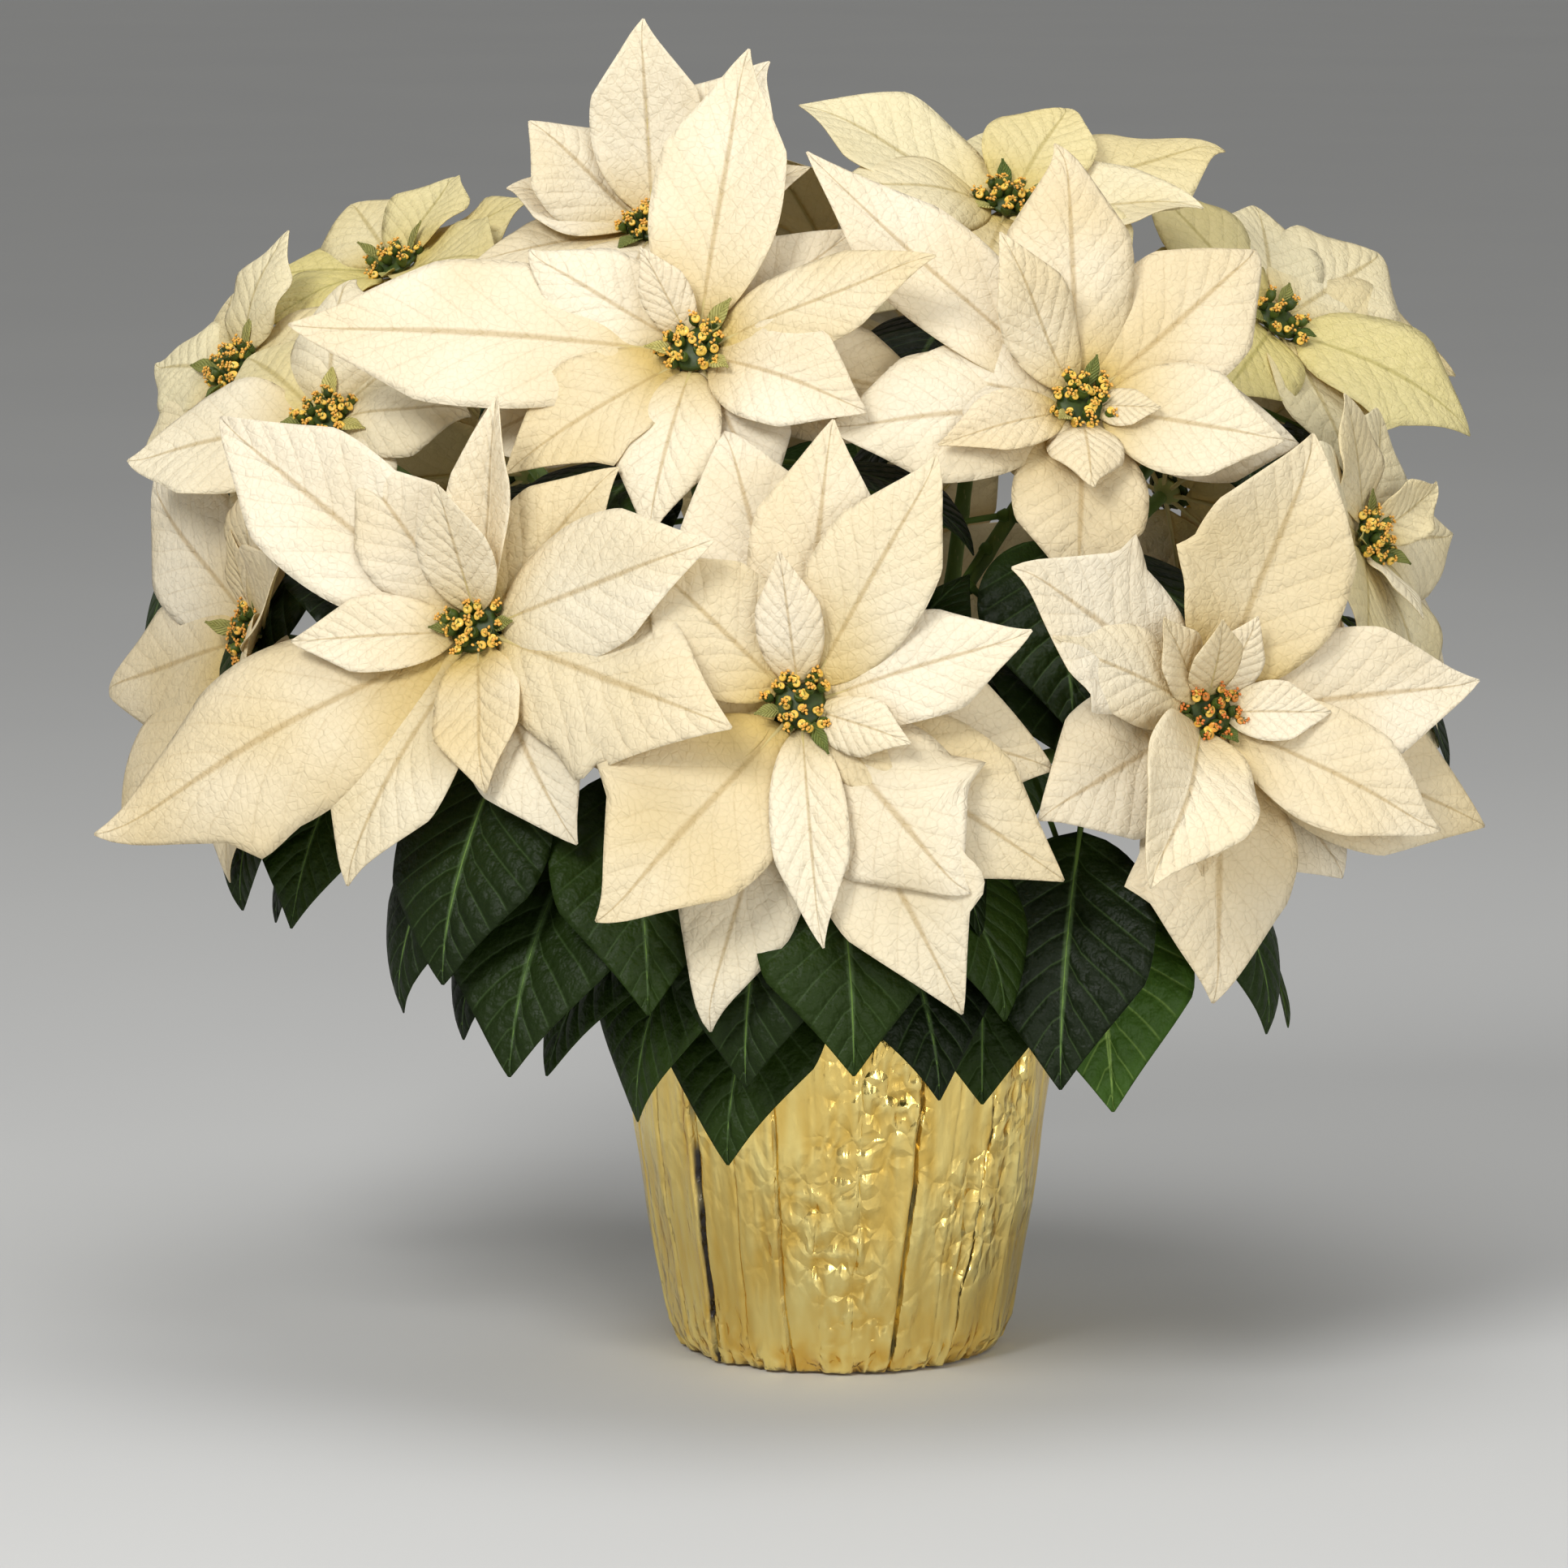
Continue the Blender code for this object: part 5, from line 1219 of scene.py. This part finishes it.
# Living flower skin: cups in smooth dark green, and glands swollen with nectar, so wet-looking and orange
# yellow, a little cloudy all through. The bed under the cups is painted near black green, as painted shade
# between them. Traits are depth of green with that painted shade, red, gland and none.
CUP_GRAIN = 1.2 * MM
GLAND_CLOUD = 1.5 * MM
flower_skin, node = new_finish("green_cups_and_nectar_glands")
spot = node("TexCoord", {}, "Object")
traits = node("Attribute", {}, "Color", attribute_name="traits")
green_tone_and_shade, red, gland = (node("SeparateColor", {0: traits}, k) for k in range(3))
mottle = node("TexNoise", {"Vector": spot, "Scale": 1 / CUP_GRAIN, "Detail": 2})
cup = node("Mix", {0: green_tone_and_shade, 6: "#161C08", 7: "#76862F"})
cup = node("Mix", {0: mottle, 6: cup, 7: "#44581C"})
yellow = node("Mix", {0: mottle, 6: "#E6AE36", 7: "#F4D468"})
yellow = node("Mix", {0: red, 6: yellow, 7: "#C9622A"})
flower_shader = node("BsdfPrincipled", {
    "Base Color": node("Mix", {0: gland, 6: cup, 7: yellow}),
    "Roughness": node("MapRange", {"Value": gland, "To Min": 0.5, "To Max": 0.28}),
    "IOR": 1.4,
    "Subsurface Weight": 0.12,
    "Subsurface Scale": GLAND_CLOUD,
})
node("OutputMaterial", {"Surface": flower_shader})

for head in HEADS:
    cluster = Gathered()
    rng = draws("cyathia " + head.name)
    facing, up, right = axes_of(head)
    centre = np.array(head.centre) * MM
    redness = REDNESS.get(head.name, USUAL_REDNESS)
    # Painted shade: the bed shows near black green between the cups.
    cluster.add_rings(turned(CLUSTER_SHADE_BED, RECEPTACLE_SIDES, centre, facing), (0.05, 0.1, 0, 0))
    count = CUPS_IN_FRONT if head.centre[1] < REAR_LINE else CUPS_BEHIND
    for k in range(count):
        spread = math.sqrt((k + 0.4) / count)
        bearing = k * GOLDEN_ANGLE + rng.uniform(-0.3, 0.3)
        spoke = up * math.cos(bearing) + right * math.sin(bearing)
        axis = unit(facing + spoke * spread * rng.uniform(*CUP_LEANS))
        stand = DOME[0] - DOME[1] * spread**2 + rng.uniform(*CUP_STANDS)
        place = centre + (spoke * spread * CLUSTER_SPREAD + facing * stand) * MM
        scale = rng.uniform(*CUP_SCALES) * (1 - 0.12 * spread)
        cluster.add_rings(
            turned(np.array(CUP) * scale, CUP_SIDES, place, axis), (0.5 * rng.uniform(), 0.4, 0, 0)
        )
        side = unit(np.cross(axis, up + 0.3 * right))
        over = np.cross(axis, side)
        for turn in rng.uniform(0, WHOLE_TURN, 1 if rng.uniform() < ONE_GLAND_SHARE else 2):
            lip = side * math.cos(turn) + over * math.sin(turn)
            at = place + (axis * CUP_MOUTH + lip * LIP_REACH) * scale * MM
            radius, height = rng.uniform(*GLAND_RADII) * scale, rng.uniform(*GLAND_HEIGHTS) * scale
            gland = bead(at, unit(axis * 0.9 + lip * 0.8), radius, height, 8, 12, GLAND_DIMPLE)
            cluster.add_rings(gland, (0, rng.uniform(0, redness), 1, 0))
        for s in range(rng.integers(3, 7)):
            tuft = side * math.cos(s * GOLDEN_ANGLE) + over * math.sin(s * GOLDEN_ANGLE)
            foot = place + (axis * CUP_MOUTH + tuft * TUFT_REACH) * scale * MM
            tip = foot + (axis + tuft * rng.uniform(*STAMEN_SPREADS)) * rng.uniform(*STAMEN_LENGTHS) * MM
            stamen = tube(np.linspace(foot, tip, 3), np.full(3, STAMEN_RADIUS), 4)
            cluster.add_rings(stamen, (0.6, 0.3, 0.2, 0))
            cluster.add_rings(bead(tip, tuft, *ANTHER, 4, 6), (0, 0.3 + redness * 0.7, 1, 0))
    cluster = cluster.piece("true_flowers_" + head.name, flower_skin)
    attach(cluster, "root")
    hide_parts("cyathia_" + head.name)

# The foil cover is a sheet of gold-lacquered aluminium foil on paper, stamped into a tapered cup. Its
# spare cloth lies in flat upright laps between sharp folds, and its foot is crumpled where it is gathered.
FOIL_SIDES = 900
FOIL_ROWS = 84
FOIL_FOOT = 1.2 * MM
FOIL_BULGE = 2.6 * MM
FOIL_INSET = 0.6 * MM
# Sharp folds as (bearing at the top, bearing at the foot, depth), and others further round, this far apart
FOIL_FOLDS = (
    (-43, -47, 2.2),
    (-31, -33, 0.6),
    (-20, -17, 1.2),
    (-8, -7, 0.4),
    (5, 4, 0.6),
    (24, 17, 2.3),
    (34, 31, 0.4),
    (49, 39, 2.5),
    (61, 60, 2.9),
)
FOLD_SPACING = (12, 23)
FOLD_WANDER = (1.0, 16 * MM)
SLIT_WIDTH = 0.8
SLIT_DEPTH = 1.2
SPARE_DEPTHS = (0.3, 0.9)
# How deep a lap sags, how far it rises to its far fold, and how far it falls to its near one
LAP_SAGS = (0.35, 0.6)
LAP_RISE = 0.9
LAP_FALL = 0.5
FOOT_CRUMPLE = 16 * MM
TOP_FRILL = 12 * MM
# Lumps across, through and up the foil, and their depths
PULL = (3.2 * MM, 3.2 * MM, 50 * MM)
FINE_PULL = (1.8 * MM, 1.8 * MM, 30 * MM)
FINE_PULL_SHARE = 0.6
DENT = (14 * MM, 14 * MM, 22 * MM)
PATCH = (24 * MM, 24 * MM, 60 * MM)
CRUMPLE = (5 * MM, 5 * MM, 8 * MM)
SWIRL = 10 * MM
SWIRL_REACH = 5 * MM
FOOT_LUMP = (9 * MM, 9 * MM, 12 * MM)
FRILL_LUMP = (9 * MM, 9 * MM, 30 * MM)
# The last lumps break the painted shade in the fold slits into stretches
SLIT_SHADE_LUMP = (9 * MM, 9 * MM, 14 * MM)
PULL_DEPTH = 0.3
DENT_DEPTH = 0.7
CRUMPLE_DEPTH = 0.6
FOOT_DEPTH = 1.7
FRILL_DEPTH = 1.5
FOOT_TUCK = 4.6 * MM
RIM_WAVE = 1.6 * MM
RIM_LUMP = 8 * MM
UNDER_LUMP = 6 * MM
UNDER_DEPTH = 0.35 * MM
UNDER_EDGE = 0.97
# How abruptly patches of crumples, and the stretches of fold slits painted nearly black as shade, begin, and
# how far they spread
PATCH_EDGE = 1.6
PATCH_BIAS = 0.15
SLIT_SHADE_EDGE = 1.4
SLIT_SHADE_BIAS = 0.75
RIDGE_SHARPNESS = 2.4
FOOT_CRUSH = 2.2
# How deep a slit must be, in millimetres, for its painted shade to begin, and how much deeper to turn nearly
# black
SLIT_SHADE_FROM = 0.9
SLIT_SHADE_OVER = 1.2
# Rings that turn under the foot as (share of its radius, height), and over the rim as (drop, inset)
FOIL_UNDER = ((0.02, 0.2), (0.4, 0.4), (0.75, 0.2), (0.93, 0.3), (0.975, 0.9))
FOIL_RIM = ((0.2, 0.4), (3, 0.7))
INNER_STEP = 7
INNER_INSET = 0.5 * MM
INNER_FLOOR = 1.15 * MM

rng = draws("foil")
folds = list(FOIL_FOLDS)
bearing = FOIL_FOLDS[-1][0] + 17
while bearing < FOIL_FOLDS[0][0] + 360 - 9:
    folds.append((bearing, bearing + rng.uniform(-3, 3), rng.uniform(*SPARE_DEPTHS)))
    bearing += rng.uniform(*FOLD_SPACING)
folds = np.array(folds)
share = np.linspace(0, 1, FOIL_ROWS)[:, None]
heights = FOIL_FOOT + share * (COVER_HEIGHT - FOIL_FOOT)
bearings = np.linspace(0, 360, FOIL_SIDES, endpoint=False)
# Each fold's bearing at each height, which wanders, and the lap that each point lies in
spots = np.stack(np.broadcast_arrays(np.arange(len(folds)) * 7.7, 0, heights / FOLD_WANDER[1]), axis=-1)
lines = folds[:, 1] + (folds[:, 0] - folds[:, 1]) * share + FOLD_WANDER[0] * lumps_at(spots, 1.0)
ring = (bearings - lines[:, :1]) % 360 + lines[:, :1]
lines = np.hstack([lines, lines[:, :1] + 360])
depths = np.append(folds[:, 2], folds[0, 2])
lap = (ring[:, :, None] >= lines[:, None, :]).sum(axis=2) - 1
lap = np.clip(lap, 0, len(folds) - 1)
start, end = np.take_along_axis(lines, lap, axis=1), np.take_along_axis(lines, lap + 1, axis=1)
part = (ring - start) / (end - start)
# A lap rises to its far fold, sags flat in between, and falls into a slit along each fold
sag = LAP_SAGS[0] * np.sin(WHOLE_TURN * part) - LAP_SAGS[1] * np.sin(math.pi * part)
step = LAP_RISE * depths[lap + 1] * part**3 - LAP_FALL * depths[lap] * (1 - part) ** 6
nearer = np.where(part < 0.5, depths[lap], depths[lap + 1])
gap = np.minimum(ring - start, end - ring)
slit = np.exp(-((gap / SLIT_WIDTH) ** 2)) * nearer * SLIT_DEPTH
relief = (sag + step - slit) * MM
radians = np.radians(bearings)
spokes = np.stack([np.sin(radians), -np.cos(radians), 0 * radians], axis=1)
cone = COVER_BASE_RADIUS + (COVER_TOP_RADIUS - COVER_BASE_RADIUS) * heights / COVER_HEIGHT - FOIL_INSET
radius = cone + relief + FOIL_BULGE * np.sin(math.pi * share)
skin = radius[..., None] * spokes
skin[..., 2] = heights
foot = np.clip(1 - (heights - FOIL_FOOT) / FOOT_CRUMPLE, 0, 1)
frill = np.clip((heights - COVER_HEIGHT + TOP_FRILL) / TOP_FRILL, 0, 1)
# Crumples stand in patches, as ridges where noise passes through 0, between fine upright pulls
patches = np.clip(lumps_at(skin, PATCH, 13) * PATCH_EDGE + PATCH_BIAS, 0, 1)
swirl = np.stack([lumps_at(skin, SWIRL, seed) for seed in (31, 32, 33)], axis=-1)
crumple = 1 - RIDGE_SHARPNESS * np.abs(lumps_at(skin + SWIRL_REACH * swirl, CRUMPLE, 12))
pulls = lumps_at(skin, PULL, 11) + FINE_PULL_SHARE * lumps_at(skin, FINE_PULL, 19)
dents = lumps_at(skin, DENT, 18)
radius = radius + MM * (
    PULL_DEPTH * pulls
    + DENT_DEPTH * dents
    + CRUMPLE_DEPTH * crumple * np.maximum(patches, FOOT_CRUSH * foot)
    + FOOT_DEPTH * foot * lumps_at(skin, FOOT_LUMP, 14)
    + FRILL_DEPTH * frill * lumps_at(skin, FRILL_LUMP, 15)
)
radius = radius - FOOT_TUCK * foot**2.4
skin = radius[..., None] * spokes
skin[..., 2] = heights
skin[-1, :, 2] += RIM_WAVE * lumps_at(skin[-1] * (1, 1, 0), RIM_LUMP, 16)
under = []
for size, height in FOIL_UNDER:
    row = skin[0] * (size, size, 0)
    row[:, 2] = height * MM
    if size < UNDER_EDGE:
        row[:, 2] += UNDER_DEPTH * (1 + lumps_at(row * (1, 1, 0), UNDER_LUMP, 17))
    under.append(row)
inside = []
for drop, inset in FOIL_RIM:
    row = skin[-1] * (1, 1, 1)
    row[:, :2] *= 1 - (inset + drop * COVER_SLOPE) * MM / COVER_TOP_RADIUS
    row[:, 2] -= drop * MM
    inside.append(row)
# The inner skin keeps inside the least radius of the rows about it, and closes over the foot
for k in range(FOIL_ROWS - INNER_STEP, 0, -INNER_STEP):
    least = radius[max(k - INNER_STEP, 0) : k + INNER_STEP].min(axis=0) - INNER_INSET
    inside.append(least[:, None] * spokes + (0, 0, heights[k, 0]))
inside.append(inside[-1] * (1, 1, 0) + (0, 0, INNER_FLOOR))
inside.append(inside[-1] * (0.01, 0.01, 1))
# Painted shade: the deep fold slits are painted nearly black brown, in broken stretches
shaded_stretches = np.clip(lumps_at(skin, SLIT_SHADE_LUMP, 21) * SLIT_SHADE_EDGE + SLIT_SHADE_BIAS, 0, 1)
dark = np.clip((slit - SLIT_SHADE_FROM) / SLIT_SHADE_OVER, 0, 1) * shaded_stretches
traits = np.zeros((len(under) + FOIL_ROWS + len(inside), FOIL_SIDES, 4))
outer = traits[len(under) : len(under) + FOIL_ROWS]
outer[..., 0] = dark
# Painted shade and highlight: the colour follows the relief, darker in the hollows of pulls, dents and
# crumples and lighter on their crests
crumple_shade = (crumple - 0.4) * np.maximum(patches, 2 * foot)
outer[..., 1] = np.clip(0.42 + 0.3 * pulls + 0.3 * dents + 0.45 * crumple_shade, 0, 1)
outer[..., 2] = np.clip(0.2 + np.maximum(patches, 1.6 * foot), 0, 1)

# Gold-lacquered foil: a true metal under clear yellow lacquer, rolled bright and then crushed by hand, so
# its gloss is broken into satin pulls and bright facets. Its 0.3 mm wrinkles are drawn at 1.6 mm, because
# less would not show. Its colour carries painted shade and highlight: darker in the hollows of the relief
# and at facet edges and lighter on the crests, and nearly black brown and not metal in stretches of the deep
# fold slits. Traits are painted slit shade, painted relief shade and highlight, crumpled and none.
WRINKLE = 6.5 * MM
HAIRLINE = 1.6 * MM
FACET = 7 * MM
FACET_WARP = 3 * MM
WRINKLE_DEPTH = 0.9 * MM
CREASE_DEPTH = 0.95 * MM
gold_foil, node = new_finish("gold_lacquered_foil")
spot = node("TexCoord", {}, "Object")
upright = node("Mapping", {"Vector": spot, "Scale": (1, 1, 0.3)})
drawn_out = node("Mapping", {"Vector": spot, "Scale": (1, 1, 0.07)})
leaning = node("Mapping", {"Vector": spot, "Scale": (1, 1, 0.55)})
seen = node("Attribute", {}, "Color", attribute_name="traits")
fold_shade, relief_shade, crumpled = (node("SeparateColor", {0: seen}, k) for k in range(3))
wrinkle = node("TexNoise", {"Vector": upright, "Scale": 1 / WRINKLE, "Detail": 3, "Distortion": 0.6})
hairline = node("TexNoise", {"Vector": drawn_out, "Scale": 1 / HAIRLINE, "Detail": 2})
warp = node("TexNoise", {"Vector": spot, "Scale": 1 / FACET, "Detail": 1}, "Color")
bent = node("VectorMath", {0: warp, 1: (FACET_WARP,) * 3, 2: leaning}, operation="MULTIPLY_ADD")
facet = node("TexVoronoi", {"Vector": bent, "Scale": 1 / FACET}, feature="DISTANCE_TO_EDGE")
facet = node("MapRange", {"Value": facet, "From Max": 0.35})
facet = node("Math", {0: facet, 1: crumpled}, operation="MULTIPLY")
# Painted shade and highlight: darker at facet edges and in the hollows of the relief, lighter on its crests
shade = node("Math", {0: facet, 1: 0.3, 2: relief_shade}, operation="MULTIPLY_ADD")
gold = node("Mix", {0: shade, 6: "#EBC462", 7: "#FFEA98"})
# Painted shade in the fold slits: nearly black brown, and not metal there
gold = node("Mix", {0: fold_shade, 6: gold, 7: "#1E1206"})
height = node("Math", {0: hairline, 1: 0.3, 2: wrinkle}, operation="MULTIPLY_ADD")
wrinkled = node("Bump", {"Height": height, "Distance": WRINKLE_DEPTH, "Strength": 0.8})
foil_shader = node("BsdfPrincipled", {
    "Base Color": gold,
    "Metallic": node("MapRange", {"Value": fold_shade, "To Min": 0.95, "To Max": 0}),
    "Roughness": node("MapRange", {"Value": hairline, "To Min": 0.12, "To Max": 0.3}),
    "Normal": node("Bump", {"Height": facet, "Distance": CREASE_DEPTH, "Normal": wrinkled}),
})
node("OutputMaterial", {"Surface": foil_shader})

foil = Gathered()
foil.add_rings(np.concatenate([under, skin, inside]), traits.reshape(-1, 4))
foil = foil.piece("pleated_foil", gold_foil)
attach(foil, "root")
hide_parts("foil_cover")

# The studio is a pale seamless floor under an even sky, with a large soft lamp at the upper left, weaker
# ones at the right, low in front and overhead. The camera looks a little down on the plant from the front.
TARGET = (-0.022, 0, 0.224)
DISTANCE = 3.0
ELEVATION = 9
LENS = 175
SENSOR = 36
FLOOR_HALF = 12
SKY_STRENGTH = 0.56
# Each lamp's name, place, size and power
LAMPS = (
    ("key_light", (-1.1, -1.9, 1.9), 1.0, 50),
    ("fill_light", (1.4, -1.9, 0.8), 1.5, 16),
    ("low_light", (0.5, -2.3, 0.35), 0.35, 7),
    ("top_light", (0.2, -0.2, 2.2), 1.4, 17),
)

# Matt paper, almost one tone, with a cloud far larger than the plant
pale_paper, node = new_finish("matt_studio_paper")
spot = node("TexCoord", {}, "Object")
cloud = node("TexNoise", {"Vector": spot, "Scale": 2.5, "Detail": 2})
paper = node("Mix", {0: cloud, 6: "#BFBFBE", 7: "#C5C5C3"})
paper_shader = node("BsdfPrincipled", {"Base Color": paper, "Roughness": 0.75})
node("OutputMaterial", {"Surface": paper_shader})
sheet = bpy.data.meshes.new("studio_floor")
corners = [(x * FLOOR_HALF, y * FLOOR_HALF, 0) for x, y in ((-1, -1), (1, -1), (1, 1), (-1, 1))]
sheet.from_pydata(corners, [], [(0, 1, 2, 3)])
sheet.materials.append(pale_paper)
floor = bpy.data.objects.new("studio_floor", sheet)
bpy.context.scene.collection.objects.link(floor)

studio = bpy.data.worlds.new("studio")
studio.use_nodes = True
sky = studio.node_tree.nodes["Background"]
sky.inputs["Color"].default_value = linear("#CCCCCB")
sky.inputs["Strength"].default_value = SKY_STRENGTH
bpy.context.scene.world = studio
for name, place, size, power in LAMPS:
    lamp = bpy.data.lights.new(name, "AREA")
    lamp.shape = "DISK"
    lamp.size = size
    lamp.energy = power
    held = bpy.data.objects.new(name, lamp)
    held.location = place
    held.rotation_euler = (Vector(TARGET) - Vector(place)).to_track_quat("-Z", "Y").to_euler()
    held.visible_camera = False
    bpy.context.scene.collection.objects.link(held)
lens = bpy.data.cameras.new("camera")
lens.lens = LENS
lens.sensor_width = SENSOR
camera = bpy.data.objects.new("camera", lens)
rise = math.radians(ELEVATION)
back = Vector((0, -math.cos(rise), math.sin(rise)))
camera.location = Vector(TARGET) + back * DISTANCE
camera.rotation_euler = back.to_track_quat("Z", "Y").to_euler()
bpy.context.scene.collection.objects.link(camera)
bpy.context.scene.camera = camera
bpy.context.scene.view_settings.view_transform = "Standard"
